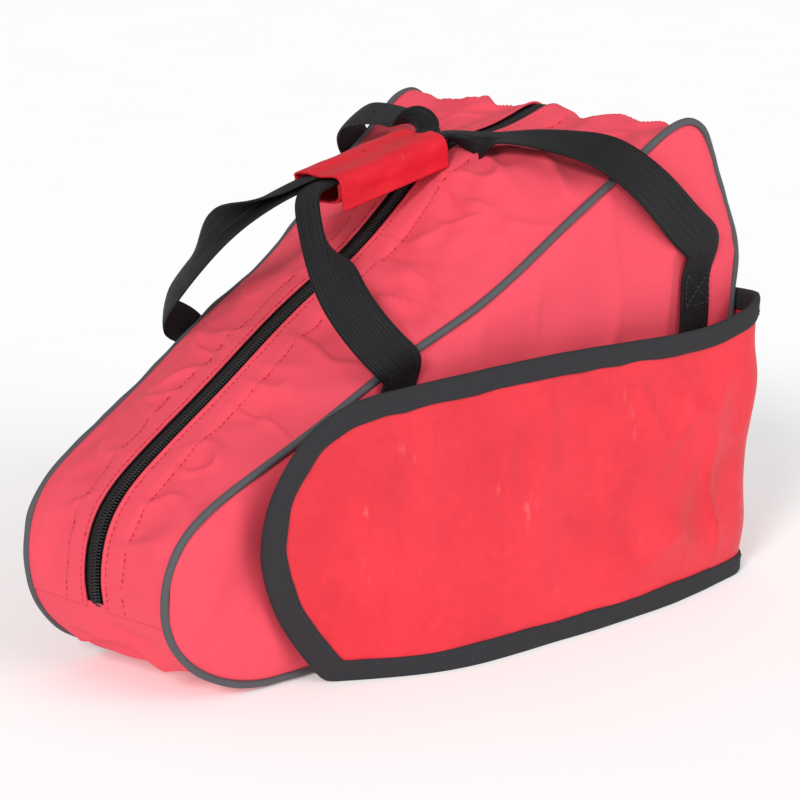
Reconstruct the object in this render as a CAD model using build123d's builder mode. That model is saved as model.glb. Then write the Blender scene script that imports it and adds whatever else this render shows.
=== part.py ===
"""Boot-shaped skate bag with a sling pocket, a zipped top gusset and two webbing handles.

X runs from the toe (-X) to the heel (+X), Z is up, the near side is -Y and the far side is +Y.
The origin is at the middle of the bag's underside. All sizes are in millimetres.
"""
import os
from math import atan2, cos, pi, radians, sin

from build123d import *

# Body of the bag
BODY_LENGTH = 390.0
BODY_HEIGHT = 262.0
HALF_WIDTH = 67.0        # half the body's width at its middle, on the ground
FLARE_BACK = 0.10        # extra half width for each millimetre towards the heel
FLARE_UP = 0.083         # extra half width for each millimetre of height
HEEL_REACH = 24.0        # how far the heel's corner curve reaches along each side
BACK_REACH = 11.0        # the same for the bend below the zipper's end
PANEL_THICKNESS = 1.4    # backed nylon with its lining
GUSSET_THICKNESS = 1.2
PIPING_RADIUS = 2.0
SEAM_EASE = 0.2          # gussets stop this far short of the cord they are sewn to
PANEL_EASE = 0.7         # the same for the side panels, which lean

# Zipper
ZIP_RUN = 50.0           # straight stretch down the back, where the slider travels
ZIP_GAP = 7.5            # half the gap between the folded edges of the gusset
TAPE_HALF_WIDTH = 11.0
TAPE_THICKNESS = 0.7
TAPE_DROP = 1.4          # the tape lies this far under the gusset
COIL_HALF_WIDTH = 3.2
COIL_SPLIT = 0.7         # half the gap that the slider's divider runs in
COIL_HEIGHT = 2.4
SLIDER_LENGTH = 11.0
SLIDER_WIDTH = 10.4
SLIDER_PLATE = 1.2
SLIDER_CLEARANCE = 0.4
SLIDER_REST = 8.0        # from the zipper's end to the middle of the slider
BRIDGE_WIDTH = 2.0
BRIDGE_HEIGHT = 3.4
BRIDGE_LENGTH = 7.0
PULL_LENGTH = 24.0
PULL_WIDTH = 6.4
PULL_THICKNESS = 1.2
PIN_RADIUS = 0.6

# Sling pocket
POCKET_HEIGHT = 166.0
POCKET_BACK_GAP = 6.0    # from the back of the body to the outside of the pocket
WALL_THICKNESS = 1.2
FLOOR_THICKNESS = 1.2
BINDING_WIDTH = 10.0
BINDING_THICKNESS = 0.7

# Handles and their wrap
WEBBING_WIDTH = 25.0
WEBBING_THICKNESS = 1.6
FOLDED_WIDTH = 12.5      # folded in half along its length where it passes through the wrap
FOLDED_THICKNESS = 3.4
FOLD_SHARE = 0.35        # share of each leg over which the webbing closes into its fold
FOLD_SPEED = 1.5         # above 1, the fold is closed before the webbing reaches the grip
RIBBON_SECTIONS = 28
GRIP_GAP = 2.4           # from the end of the folded webbing to the leg that carries on from it
GRIP_APPROACH = 8.0      # each leg comes straight into the grip over this length
ANCHOR_RISE = (8.0, 2.6)  # each leg leaves its anchor up the panel and a little away from it
ANCHOR_LENGTH = 48.0
LAYOUT_HEIGHT = 262.0  # height of the bag that the places of the handles are given for
HANDLE_RISE = BODY_HEIGHT / LAYOUT_HEIGHT
GRIP_CENTRE = (3.5, 0.0, 245.0 * HANDLE_RISE)
GRIP_TILT = 10.0
GRIP_LENGTH = 82.0
GRIP_WIDTH = 33.0
GRIP_HEIGHT = 14.0
WRAP_THICKNESS = 1.2
PATCH_THICKNESS = 0.8
PATCH_MARGIN = 4.0
CLEARANCE = 0.4          # between pieces that move against each other

BOARD_THICKNESS = 2.0
BOARD_MARGIN = 8.0

BASE_Z = FLOOR_THICKNESS + PIPING_RADIUS
TOE_X = -(BODY_LENGTH + POCKET_BACK_GAP - PIPING_RADIUS) / 2
BACK_X = TOE_X + BODY_LENGTH
POCKET_BACK_X = BACK_X + POCKET_BACK_GAP
REACH = 200.0            # longer than any half width, for cutting tools

# Side outline over the toe and the top, as shares of the body's length and height
TOE_CURVE = [(0.179, 0.0), (0.077, 0.040), (0.022, 0.110)]
TOE_SEAM = (0.004, 0.163)
TOP_CURVE = [
    (0.000, 0.238), (0.026, 0.333), (0.100, 0.408), (0.238, 0.502), (0.385, 0.609),
    (0.503, 0.682), (0.646, 0.811), (0.800, 0.950),
]
TOP_SLOPE = (0.85, 0.53)     # direction of the outline where the rounded peak begins
PEAK_REACH = (30.0, 26.0)    # how far the peak's curve follows the lines before and after it
# The middle of the top gusset stands above its piped edges, most of all over the ankle
CROWN = 28.0
CROWN_PEAK = 0.65        # share of the length where it stands highest
CROWN_FALL = 0.21        # share of the length over which it falls behind the peak
FRONT_SECTIONS = 16
PEAK_SECTIONS = 6
ZIP_TURN = (0.926, 0.931)    # where the zipper starts its straight run down the back
RUN_SLOPE = (0.455, -0.890)  # direction of that run, as X and Z
RUN_OUTWARD = (0.890, 0.455)

# Sling pocket: gap between the body's side and the pocket at three heights, by share of length
POCKET_STATIONS = [0.077, 0.238, 0.359, 0.513, 0.667, 0.821]
POCKET_LEVELS = [
    (0.0, [-18.0, 14.0, 40.0, 46.0, 46.0, 41.0, 25.0]),
    (0.5, [14.0, 25.0, 30.0, 33.0, 34.0, 32.0, 24.0]),
    (1.0, [18.0, 20.0, 17.0, 20.0, 22.0, 23.0, 23.0]),
]
# The far side of the pocket lies closer to the body, and its front is lower
FAR_POCKET_LEVELS = [
    (0.0, [0.0, 12.0, 26.0, 34.0, 37.0, 36.0, 25.0]),
    (0.5, [6.0, 10.0, 19.0, 27.0, 31.0, 31.0, 24.0]),
    (1.0, [6.0, 8.0, 13.0, 19.0, 22.0, 23.0, 23.0]),
]
# Front lobe and top edge of the pocket, as shares of length and pocket height
POCKET_EDGE = [
    (0.236, 0.0), (0.166, 0.22), (0.126, 0.40), (0.113, 0.53), (0.126, 0.69), (0.160, 0.81),
    (0.205, 0.875), (0.320, 0.905), (0.590, 0.920), (0.810, 0.905), (0.920, 0.918), (1.04, 1.0),
]
FAR_POCKET_EDGE = [
    (0.236, 0.0), (0.166, 0.20), (0.128, 0.34), (0.116, 0.46), (0.126, 0.565), (0.158, 0.645),
    (0.205, 0.700), (0.320, 0.785), (0.450, 0.850), (0.590, 0.885), (0.810, 0.905), (0.920, 0.918),
    (1.04, 1.0),
]


def half_width(x, z):
    """Half the body's width at a place along its length and height."""
    return HALF_WIDTH + FLARE_BACK * x + FLARE_UP * z


def body_point(length_share, height_share):
    return TOE_X + length_share * BODY_LENGTH, BASE_Z + height_share * BODY_HEIGHT


def run_point(distance):
    """A point on the straight run of the zipper, by its distance from the top of the run."""
    x, z = body_point(*ZIP_TURN)
    return x + RUN_SLOPE[0] * distance, z + RUN_SLOPE[1] * distance


def in_sketch(x, z):
    return x, z


def on_centre(x, z):
    return x, 0, z


def on_near_side(x, z):
    return x, -half_width(x, z), z


def moved_aside(curve, points, distance):
    """Points moved to the left of a flat curve that runs through them."""
    moved = []
    for x, y in points:
        along = curve.tangent_at(curve.param_at_point(Vector(x, y)))
        moved.append((x - along.Y * distance, y + along.X * distance))
    return moved


front_stations = [body_point(*share) for share in [*TOE_CURVE, TOE_SEAM, *TOP_CURVE]]
with BuildLine():
    flat_front = Spline(*front_stations, tangents=[(-1, 0), TOP_SLOPE], tangent_scalars=[1, 1])


def draw_front(place, outset=0.0):
    """Draw the outline from the sole, over the toe and the peak, to the straight run."""
    def way(start, dx, dz):
        return Vector(*place(start[0] + dx, start[1] + dz)) - Vector(*place(*start))

    stations = moved_aside(flat_front, front_stations, outset)
    slope_end = stations[-1]
    run_start = moved_out(run_point(0), outset)
    front = Spline(
        *[place(*point) for point in stations],
        tangents=[way(stations[0], -1, 0), way(slope_end, *TOP_SLOPE)],
        tangent_scalars=[1, 1],
    )
    peak = Bezier(
        place(*slope_end),
        place(*[end + PEAK_REACH[0] * step for end, step in zip(slope_end, TOP_SLOPE)]),
        place(*[end - PEAK_REACH[1] * step for end, step in zip(run_start, RUN_SLOPE)]),
        place(*run_start),
    )
    return front, peak


def moved_out(point, distance):
    """A point beside the straight run, moved straight out of the bag."""
    return tuple(start + distance * step for start, step in zip(point, RUN_OUTWARD))


def draw_outline(place, outset=0.0):
    """Draw the boot-shaped side outline; place turns a length and a height into a point."""
    front, _ = draw_front(place, outset)
    back = BACK_X + outset
    sole = BASE_Z - outset
    run_end = moved_out(run_point(ZIP_RUN), outset)
    bend = (back, run_end[1] + (back - run_end[0]) * RUN_SLOPE[1] / RUN_SLOPE[0])
    bend_end = (back, bend[1] - BACK_REACH)
    heel_top = (back, sole + HEEL_REACH)
    heel_front = (back - HEEL_REACH, sole)
    Line(place(*moved_out(run_point(0), outset)), place(*run_end))
    Bezier(place(*run_end), place(*bend), place(*bend_end))
    Line(place(*bend_end), place(*heel_top))
    Bezier(place(*heel_top), place(back, sole), place(*heel_front))
    Line(place(*heel_front), front @ 0)


def near_plane(offset):
    """The near side's leaning plane, moved outwards by an offset."""
    plane = Plane(origin=(0, -HALF_WIDTH, 0), z_dir=(-FLARE_BACK, -1, -FLARE_UP))
    return plane.offset(offset)


def far_plane(offset):
    plane = Plane(origin=(0, HALF_WIDTH, 0), z_dir=(-FLARE_BACK, 1, -FLARE_UP))
    return plane.offset(offset)


def trim_to_sides(offset):
    split(bisect_by=near_plane(offset), keep=Keep.BOTTOM)
    split(bisect_by=far_plane(offset), keep=Keep.BOTTOM)


# ---------------------------------------------------------------- side panels and piping
def on_panel(x, z):
    """A point of the side outline, in the near side's leaning plane."""
    local = near_plane(0).to_local_coords(Vector(*on_near_side(x, z)))
    return local.X, local.Y


with BuildPart() as near_side_panel:
    with BuildSketch(near_plane(-PANEL_THICKNESS / 2)):
        with BuildLine():
            draw_outline(on_panel, -PIPING_RADIUS - PANEL_EASE)
        make_face()
    extrude(amount=PANEL_THICKNESS)

with BuildPart() as far_side_panel:
    mirror(near_side_panel.part, about=Plane.XZ)

with BuildPart() as near_piping:
    with BuildLine() as piping_path:
        draw_outline(on_near_side)
    with BuildSketch(Plane(origin=piping_path.wire() @ 0, z_dir=piping_path.wire() % 0)):
        Circle(PIPING_RADIUS)
    sweep(path=piping_path.wire())

with BuildPart() as far_piping:
    mirror(near_piping.part, about=Plane.XZ)


# ---------------------------------------------------------------- gussets
def crown_height(x):
    """How far the middle of the gusset stands above its edges, by place along the bag."""
    share = max((x - TOE_X) / BODY_LENGTH, 0)
    if share < CROWN_PEAK:
        return CROWN * (share / CROWN_PEAK) ** 0.75
    past = min((share - CROWN_PEAK) / CROWN_FALL, 1)
    return CROWN * cos(past * pi / 2) ** 2


def frames_across(edge, start, count):
    """Planes across a part of the outline: X is the bag's Y and Y points out of the bag."""
    places = [start + (1 - start) * step / count for step in range(count + 1)]
    return [Plane(origin=edge @ place, x_dir=(0, 1, 0), z_dir=edge % place) for place in places]


with BuildLine():
    centre_front, centre_peak = draw_front(on_centre)

seam_place = centre_front.param_at_point(Vector(*on_centre(*body_point(*TOE_SEAM))))
gusset_frames = frames_across(centre_front, seam_place, FRONT_SECTIONS)
gusset_frames += frames_across(centre_peak, 0, PEAK_SECTIONS)[1:]
run_frame = Plane(
    origin=on_centre(*run_point(0)), x_dir=(0, 1, 0), z_dir=(RUN_SLOPE[0], 0, RUN_SLOPE[1])
)


def gusset_section(frame):
    """Thin curved strip from the near piping to the edge beside the zipper."""
    width = half_width(frame.origin.X, frame.origin.Z)
    crown = crown_height(frame.origin.X)
    outer = width - PIPING_RADIUS - SEAM_EASE
    places = [outer, (outer + ZIP_GAP) / 2, ZIP_GAP]
    heights = [crown * (1 - (place / width) ** 2) for place in places]
    top = [(-place, height + GUSSET_THICKNESS / 2) for place, height in zip(places, heights)]
    under = [(-place, height - GUSSET_THICKNESS / 2) for place, height in zip(places, heights)]
    with BuildSketch(frame) as section:
        with BuildLine():
            Spline(*top)
            Line(top[-1], under[-1])
            Spline(*under[::-1])
            Line(under[0], top[0])
        make_face()
    return section.sketch


with BuildPart() as near_top_gusset:
    run_end_frame = run_frame.offset(ZIP_RUN)
    loft([gusset_section(frame) for frame in [*gusset_frames, run_end_frame]], ruled=True)

with BuildPart() as far_top_gusset:
    mirror(near_top_gusset.part, about=Plane.XZ)


def outline_band(*corners):
    """Stretch of a band as thick as a gusset that follows the outline, inside the corners."""
    with BuildSketch(Plane.XZ) as band:
        for outset, mode in (
            (GUSSET_THICKNESS / 2, Mode.ADD), (-GUSSET_THICKNESS / 2, Mode.SUBTRACT)
        ):
            with BuildLine():
                draw_outline(in_sketch, outset)
            make_face(mode=mode)
        with BuildLine():
            Polyline(*corners, close=True)
        make_face(mode=Mode.INTERSECT)
    return band.sketch


toe_seam = body_point(*TOE_SEAM)
zip_end = run_point(ZIP_RUN)
heel_top = BASE_Z + HEEL_REACH

with BuildPart() as base_gusset:
    extrude(
        outline_band(
            (-REACH - BODY_LENGTH, -REACH), (-REACH - BODY_LENGTH, toe_seam[1] - SEAM_EASE),
            (0, toe_seam[1] - SEAM_EASE), (0, heel_top), (REACH + BODY_LENGTH, heel_top),
            (REACH + BODY_LENGTH, -REACH),
        ),
        amount=REACH,
        both=True,
    )
    trim_to_sides(-PIPING_RADIUS - SEAM_EASE)

with BuildPart() as back_gusset:
    extrude(
        outline_band(
            (0, heel_top), (REACH + BODY_LENGTH, heel_top),
            (zip_end[0] + REACH * RUN_OUTWARD[0], zip_end[1] + REACH * RUN_OUTWARD[1]),
            (zip_end[0] - REACH * RUN_OUTWARD[0], zip_end[1] - REACH * RUN_OUTWARD[1]),
        ),
        amount=REACH,
        both=True,
    )
    trim_to_sides(-PIPING_RADIUS - SEAM_EASE)

with BuildPart() as base_board:
    board_front = body_point(TOE_CURVE[0][0] + 0.03, 0)[0]
    board_back = BACK_X - HEEL_REACH
    with BuildSketch(Plane.XY.offset(BASE_Z + GUSSET_THICKNESS / 2)):
        with BuildLine():
            Polyline(
                (board_front, half_width(board_front, 0) - BOARD_MARGIN),
                (board_back, half_width(board_back, 0) - BOARD_MARGIN),
                (board_back, -half_width(board_back, 0) + BOARD_MARGIN),
                (board_front, -half_width(board_front, 0) + BOARD_MARGIN),
                close=True,
            )
        make_face()
        fillet(vertices(), BOARD_MARGIN)
    extrude(amount=BOARD_THICKNESS)


# ---------------------------------------------------------------- zipper
def sweep_along_zipper(inner, outer, low, high):
    """Strip beside the zipper's middle line on the near side, between two heights."""
    with BuildLine() as path:
        crowns = [
            frame.origin + frame.y_dir * crown_height(frame.origin.X) for frame in gusset_frames
        ]
        curve = Spline(
            *crowns, tangents=[gusset_frames[0].z_dir, run_frame.z_dir], tangent_scalars=[1, 1]
        )
        Line(curve @ 1, on_centre(*run_point(ZIP_RUN)))
    with BuildSketch(Plane(origin=curve @ 0, x_dir=(0, 1, 0), z_dir=curve % 0)) as section:
        with Locations((-(inner + outer) / 2, (low + high) / 2)):
            Rectangle(outer - inner, high - low)
    sweep(section.sketch, path=path.wire())


tape_top = -GUSSET_THICKNESS / 2 - TAPE_DROP

with BuildPart() as near_zipper_tape:
    sweep_along_zipper(COIL_SPLIT, TAPE_HALF_WIDTH, tape_top - TAPE_THICKNESS, tape_top)

with BuildPart() as far_zipper_tape:
    mirror(near_zipper_tape.part, about=Plane.XZ)

with BuildPart() as near_zipper_coil:
    sweep_along_zipper(COIL_SPLIT, COIL_HALF_WIDTH, tape_top, tape_top + COIL_HEIGHT)

with BuildPart() as far_zipper_coil:
    mirror(near_zipper_coil.part, about=Plane.XZ)

# The slider's frame: X up the run towards the top of the bag, Z straight out of the bag
slider_place = run_point(ZIP_RUN - SLIDER_REST)
slider_frame = Plane(
    origin=on_centre(*slider_place),
    x_dir=(-RUN_SLOPE[0], 0, -RUN_SLOPE[1]),
    z_dir=(-RUN_SLOPE[1], 0, RUN_SLOPE[0]),
)
plate_low = tape_top + COIL_HEIGHT + SLIDER_CLEARANCE
plate_top = plate_low + SLIDER_PLATE
under_top = tape_top - TAPE_THICKNESS - SLIDER_CLEARANCE
flange_low = tape_top + SLIDER_CLEARANCE
flange_width = SLIDER_WIDTH / 2 - COIL_HALF_WIDTH - SLIDER_CLEARANCE
bridge_top = plate_top + BRIDGE_HEIGHT
pin_height = plate_top + SLIDER_CLEARANCE + PIN_RADIUS

with BuildPart(slider_frame) as zipper_slider:
    with Locations((0, 0, plate_low)):
        Box(SLIDER_LENGTH, SLIDER_WIDTH, SLIDER_PLATE, align=(Align.CENTER, Align.CENTER, Align.MIN))
    fillet(edges().filter_by(lambda edge: abs(edge.length - SLIDER_PLATE) < 1e-4), 2.0)
    with Locations((0, 0, under_top)):
        Box(SLIDER_LENGTH, SLIDER_WIDTH, SLIDER_PLATE, align=(Align.CENTER, Align.CENTER, Align.MAX))
    for side in (-1, 1):
        with Locations((0, side * (SLIDER_WIDTH - flange_width) / 2, flange_low)):
            Box(
                SLIDER_LENGTH - 4, flange_width, plate_top - flange_low,
                align=(Align.CENTER, Align.CENTER, Align.MIN),
            )
    divider = 2 * (COIL_SPLIT - CLEARANCE / 2)
    with Locations((SLIDER_LENGTH / 4, 0, under_top)):
        Box(2.4, divider, plate_low - under_top, align=(Align.CENTER, Align.CENTER, Align.MIN))
    with Locations((0, 0, plate_top)):
        Box(
            BRIDGE_LENGTH, BRIDGE_WIDTH, BRIDGE_HEIGHT,
            align=(Align.CENTER, Align.CENTER, Align.MIN),
        )
        Box(
            BRIDGE_LENGTH - 3, BRIDGE_WIDTH, BRIDGE_HEIGHT - 1.2,
            align=(Align.CENTER, Align.CENTER, Align.MIN), mode=Mode.SUBTRACT,
        )

with BuildPart(slider_frame) as zipper_pull:
    with Locations((0, 0, pin_height)):
        Cylinder(PIN_RADIUS, PULL_WIDTH, rotation=(90, 0, 0))
    with Locations((0, 0, pin_height - PIN_RADIUS)):
        Box(
            PULL_LENGTH, PULL_WIDTH, PULL_THICKNESS,
            align=(Align.MAX, Align.CENTER, Align.MIN),
        )
        Box(
            BRIDGE_LENGTH / 2 + 1.5, BRIDGE_WIDTH + 2 * CLEARANCE, PULL_THICKNESS,
            align=(Align.MAX, Align.CENTER, Align.MIN), mode=Mode.SUBTRACT,
        )
    with Locations((0, 0, pin_height)):
        Cylinder(PIN_RADIUS, PULL_WIDTH, rotation=(90, 0, 0))


# ---------------------------------------------------------------- sling pocket
def pocket_width(x, height_share, gap):
    """Half width out to the pocket's outer face."""
    return half_width(x, BASE_Z + height_share * POCKET_HEIGHT) + gap


def pocket_places():
    return [TOE_X + share * BODY_LENGTH for share in POCKET_STATIONS] + [POCKET_BACK_X]


def pocket_plan(share, gaps, outside, inside):
    """Cut across the pocket's near wall at one height, thickened by the two amounts."""
    plan = [(x, pocket_width(x, share, gap)) for x, gap in zip(pocket_places(), gaps)]
    outer = [(x, -y - outside) for x, y in plan]
    inner = [(x, -y + inside) for x, y in plan]
    with BuildSketch(Plane.XY.offset(share * POCKET_HEIGHT)) as section:
        with BuildLine():
            Spline(*outer)
            Line(outer[-1], inner[-1])
            Spline(*inner[::-1])
            Line(inner[0], outer[0])
        make_face()
    return section.sketch


def pocket_edge_points(shares):
    low = BINDING_THICKNESS
    return [
        (TOE_X + share * BODY_LENGTH, low + height * (POCKET_HEIGHT - low))
        for share, height in shares
    ]


def pocket_outline(shares, outset=0.0):
    """Side view of the pocket, running past its back corner."""
    points = pocket_edge_points(shares)
    with BuildLine():
        flat_edge = Spline(*points)
    points = moved_aside(flat_edge, points, outset)
    low = BINDING_THICKNESS - outset
    past_back = POCKET_BACK_X + REACH
    foot = [(points[0][0], low)] if outset else []
    with BuildSketch(Plane.XZ) as outline:
        with BuildLine():
            edge = Spline(*points)
            Polyline(edge @ 1, (past_back, points[-1][1]), (past_back, low), *foot, edge @ 0)
        make_face()
    return outline.sketch


def build_pocket_wall(levels, shares):
    loft([pocket_plan(share, gaps, 0, WALL_THICKNESS) for share, gaps in levels])
    extrude(pocket_outline(shares), amount=REACH, mode=Mode.INTERSECT)


def build_binding(levels, shares, wall):
    """Tape folded over the wall's edge, so its section is a channel around the wall."""
    loft([
        pocket_plan(share, gaps, BINDING_THICKNESS, WALL_THICKNESS + BINDING_THICKNESS)
        for share, gaps in levels
    ])
    extrude(pocket_outline(shares, BINDING_THICKNESS), amount=REACH, mode=Mode.INTERSECT)
    inside = pocket_outline(shares, BINDING_THICKNESS - BINDING_WIDTH)
    extrude(inside, amount=REACH, mode=Mode.SUBTRACT)
    add(wall.part, mode=Mode.SUBTRACT)


with BuildPart() as near_pocket_wall:
    build_pocket_wall(POCKET_LEVELS, POCKET_EDGE)

# The far pieces are drawn on the near side and mirrored
with BuildPart() as far_wall_drawn:
    build_pocket_wall(FAR_POCKET_LEVELS, FAR_POCKET_EDGE)

with BuildPart() as far_pocket_wall:
    mirror(far_wall_drawn.part, about=Plane.XZ)

with BuildPart() as near_binding:
    build_binding(POCKET_LEVELS, POCKET_EDGE, near_pocket_wall)

with BuildPart() as far_binding_drawn:
    build_binding(FAR_POCKET_LEVELS, FAR_POCKET_EDGE, far_wall_drawn)

with BuildPart() as far_binding:
    mirror(far_binding_drawn.part, about=Plane.XZ)

binding_split = Plane.XY.offset(BINDING_WIDTH)

with BuildPart() as near_pocket_edge_binding:
    add(near_binding.part)
    split(bisect_by=binding_split, keep=Keep.TOP)

with BuildPart() as near_pocket_base_binding:
    add(near_binding.part)
    split(bisect_by=binding_split, keep=Keep.BOTTOM)

with BuildPart() as far_pocket_edge_binding:
    add(far_binding.part)
    split(bisect_by=binding_split, keep=Keep.TOP)

with BuildPart() as far_pocket_base_binding:
    add(far_binding.part)
    split(bisect_by=binding_split, keep=Keep.BOTTOM)


def build_back_strip(low, high, outside, inside, *neighbours):
    """Part of the pocket's back wall between two heights, fitted between its neighbours."""
    widths = [
        (share * POCKET_HEIGHT, pocket_width(POCKET_BACK_X, share, gaps[-1]) - WALL_THICKNESS / 2)
        for share, gaps in POCKET_LEVELS
    ]
    with BuildSketch(Plane.YZ.offset(POCKET_BACK_X - inside)) as strip:
        with BuildLine():
            Polyline(
                *[(width, height) for height, width in widths],
                *[(-width, height) for height, width in reversed(widths)],
                close=True,
            )
        make_face()
        with Locations((0, low)):
            Rectangle(
                4 * REACH, high - low, align=(Align.CENTER, Align.MIN), mode=Mode.INTERSECT
            )
    extrude(strip.sketch, amount=inside + outside)
    for neighbour in neighbours:
        add(neighbour.part, mode=Mode.SUBTRACT)


side_pieces = (near_pocket_wall, far_pocket_wall, near_pocket_edge_binding,
               far_pocket_edge_binding, near_pocket_base_binding, far_pocket_base_binding)

with BuildPart() as back_pocket_wall:
    build_back_strip(
        BINDING_THICKNESS, POCKET_HEIGHT - 1.5, 0, WALL_THICKNESS, *side_pieces
    )

with BuildPart() as back_pocket_edge_binding:
    build_back_strip(
        POCKET_HEIGHT - BINDING_WIDTH, POCKET_HEIGHT, 0,
        WALL_THICKNESS + BINDING_THICKNESS, back_pocket_wall, *side_pieces
    )

with BuildPart() as back_pocket_base_binding:
    build_back_strip(
        0, BINDING_WIDTH, 0, WALL_THICKNESS + BINDING_THICKNESS, back_pocket_wall, *side_pieces
    )

with BuildPart() as pocket_floor:
    edge_inset = WALL_THICKNESS + BINDING_THICKNESS + 2 * SEAM_EASE
    floor_back = POCKET_BACK_X - edge_inset
    near_plan, far_plan = [
        [(x, pocket_width(x, 0, gap) - edge_inset) for x, gap in zip(pocket_places(), levels[0][1])]
        for levels in (POCKET_LEVELS, FAR_POCKET_LEVELS)
    ]
    with BuildSketch(Plane.XY):
        with BuildLine():
            near_edge = Spline(*[(x, -y) for x, y in near_plan])
            far_edge = Spline(*far_plan)
            Line(near_edge @ 0, far_edge @ 0)
            Line(near_edge @ 1, far_edge @ 1)
        make_face()
        floor_front = pocket_edge_points(POCKET_EDGE)[0][0] + BINDING_WIDTH / 2
        with Locations(((floor_front + floor_back) / 2, 0)):
            Rectangle(floor_back - floor_front, 2 * REACH, mode=Mode.INTERSECT)
    extrude(amount=FLOOR_THICKNESS)


# ---------------------------------------------------------------- handles
def anchor_frame(x, z, side):
    """Plane on the outside of a side panel: X runs level and Y up the panel."""
    face = half_width(x, z) + PANEL_THICKNESS / 2 + SEAM_EASE
    normal = Vector(-FLARE_BACK, side, -FLARE_UP)
    level = Vector(-side, -FLARE_BACK, 0)
    return Plane(origin=(x, side * face, z), x_dir=level, z_dir=normal)


def build_anchor(x, top, side):
    """The end of a handle, sewn flat on a side panel below its top."""
    with BuildSketch(anchor_frame(x, top, side)) as outline:
        Rectangle(WEBBING_WIDTH, ANCHOR_LENGTH, align=(Align.CENTER, Align.MAX))
    extrude(outline.sketch, amount=WEBBING_THICKNESS)


def grip_end(end, side, away):
    """Middle of the folded webbing, this far out from where it leaves the wrap; end -1 is the toe."""
    reach = FOLD_LENGTH / 2 + GRIP_GAP + away
    place = (end * reach, fold_centre + side * FOLD_SPACING, fold_height)
    return tuple(grip_frame.from_local_coords(place))


def ribbon(anchor, side, end, bends):
    """Flat webbing from the top of its anchor, round the bends, to one end of the grip."""
    frame = anchor_frame(*anchor, side)
    start = frame.from_local_coords((0, SEAM_EASE, WEBBING_THICKNESS / 2))
    rise = frame.from_local_coords((0, *ANCHOR_RISE))
    raised = [(x, y, z * HANDLE_RISE) for x, y, z in bends]
    points = [start, rise, *raised, grip_end(end, side, GRIP_APPROACH), grip_end(end, side, 0)]
    with BuildLine():
        curve = Spline(*points)
    places = [step / RIBBON_SECTIONS for step in range(RIBBON_SECTIONS + 1)]
    tangents = [curve.tangent_at(place) for place in places]
    tangents[0] = frame.y_dir
    tangents[-1] = grip_frame.x_dir * -end
    widths = [frame.x_dir]
    for along in tangents:
        widths.append((widths[-1] - along * widths[-1].dot(along)).normalized())
    widths = widths[1:]
    last = tangents[-1]
    level = Vector(0, 1, 0) if widths[-1].Y > 0 else Vector(0, -1, 0)
    twist = atan2(last.cross(widths[-1]).dot(level), widths[-1].dot(level))
    sections = []
    for place, along, width in zip(places, tangents, widths):
        turn = twist * place
        across = width * cos(turn) + along.cross(width) * sin(turn)
        fold = min(max(0, 1 - (1 - place) / FOLD_SHARE) * FOLD_SPEED, 1)
        with BuildSketch(Plane(origin=curve @ place, x_dir=across, z_dir=along)) as section:
            Rectangle(
                WEBBING_WIDTH + (FOLDED_WIDTH - WEBBING_WIDTH) * fold,
                WEBBING_THICKNESS + (FOLDED_THICKNESS - WEBBING_THICKNESS) * fold,
            )
        sections.append(section.sketch)
    loft(sections, ruled=True)


grip_frame = Plane(
    origin=GRIP_CENTRE,
    x_dir=(cos(radians(GRIP_TILT)), 0, sin(radians(GRIP_TILT))),
    z_dir=(-sin(radians(GRIP_TILT)), 0, cos(radians(GRIP_TILT))),
)
FOLD_LENGTH = GRIP_LENGTH + 6.0
FOLD_SPACING = FOLDED_WIDTH / 2 + CLEARANCE
fold_height = GRIP_HEIGHT / 2 - WRAP_THICKNESS - CLEARANCE - FOLDED_THICKNESS / 2
wrap_front = -GRIP_WIDTH / 2 + 2 * PATCH_THICKNESS + CLEARANCE
fold_centre = (wrap_front + GRIP_WIDTH / 2) / 2

# Top of each anchor, as its place along the bag and its height.
FRONT_ANCHOR = (-57.0, 146.0 * HANDLE_RISE)
REAR_ANCHOR = (160.0, 182.0 * HANDLE_RISE)

# Places the slack webbing passes through between its anchor and the grip.
NEAR_FRONT_BENDS = [(-68, -83, 165), (-76, -67, 184), (-75, -47, 206), (-68, -27, 225)]
NEAR_REAR_BENDS = [
    (146, -107, 203), (124, -107, 220), (103, -106, 237), (87, -94, 252),
    (80, -69, 257), (73, -46, 258), (67, -25, 258),
]
FAR_FRONT_BENDS = [(-69, 83, 163), (-76, 70, 180), (-74, 51, 200), (-67, 31, 221)]
FAR_REAR_BENDS = [
    (146, 107, 203), (124, 108, 220), (102, 107, 238), (86, 93, 254),
    (77, 64, 260), (72, 42, 261), (66, 23, 260),
]

with BuildPart() as near_strap_front_anchor:
    build_anchor(*FRONT_ANCHOR, -1)

with BuildPart() as far_strap_front_anchor:
    build_anchor(*FRONT_ANCHOR, 1)

with BuildPart() as near_strap_rear_anchor:
    build_anchor(*REAR_ANCHOR, -1)

with BuildPart() as far_strap_rear_anchor:
    build_anchor(*REAR_ANCHOR, 1)

with BuildPart() as near_strap_front_leg:
    ribbon(FRONT_ANCHOR, -1, -1, NEAR_FRONT_BENDS)

with BuildPart() as near_strap_rear_leg:
    ribbon(REAR_ANCHOR, -1, 1, NEAR_REAR_BENDS)

with BuildPart() as far_strap_front_leg:
    ribbon(FRONT_ANCHOR, 1, -1, FAR_FRONT_BENDS)

with BuildPart() as far_strap_rear_leg:
    ribbon(REAR_ANCHOR, 1, 1, FAR_REAR_BENDS)

with BuildPart(grip_frame) as near_strap_grip:
    with Locations((0, fold_centre - FOLD_SPACING, fold_height)):
        Box(FOLD_LENGTH, FOLDED_WIDTH, FOLDED_THICKNESS)

with BuildPart(grip_frame) as far_strap_grip:
    with Locations((0, fold_centre + FOLD_SPACING, fold_height)):
        Box(FOLD_LENGTH, FOLDED_WIDTH, FOLDED_THICKNESS)

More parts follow.
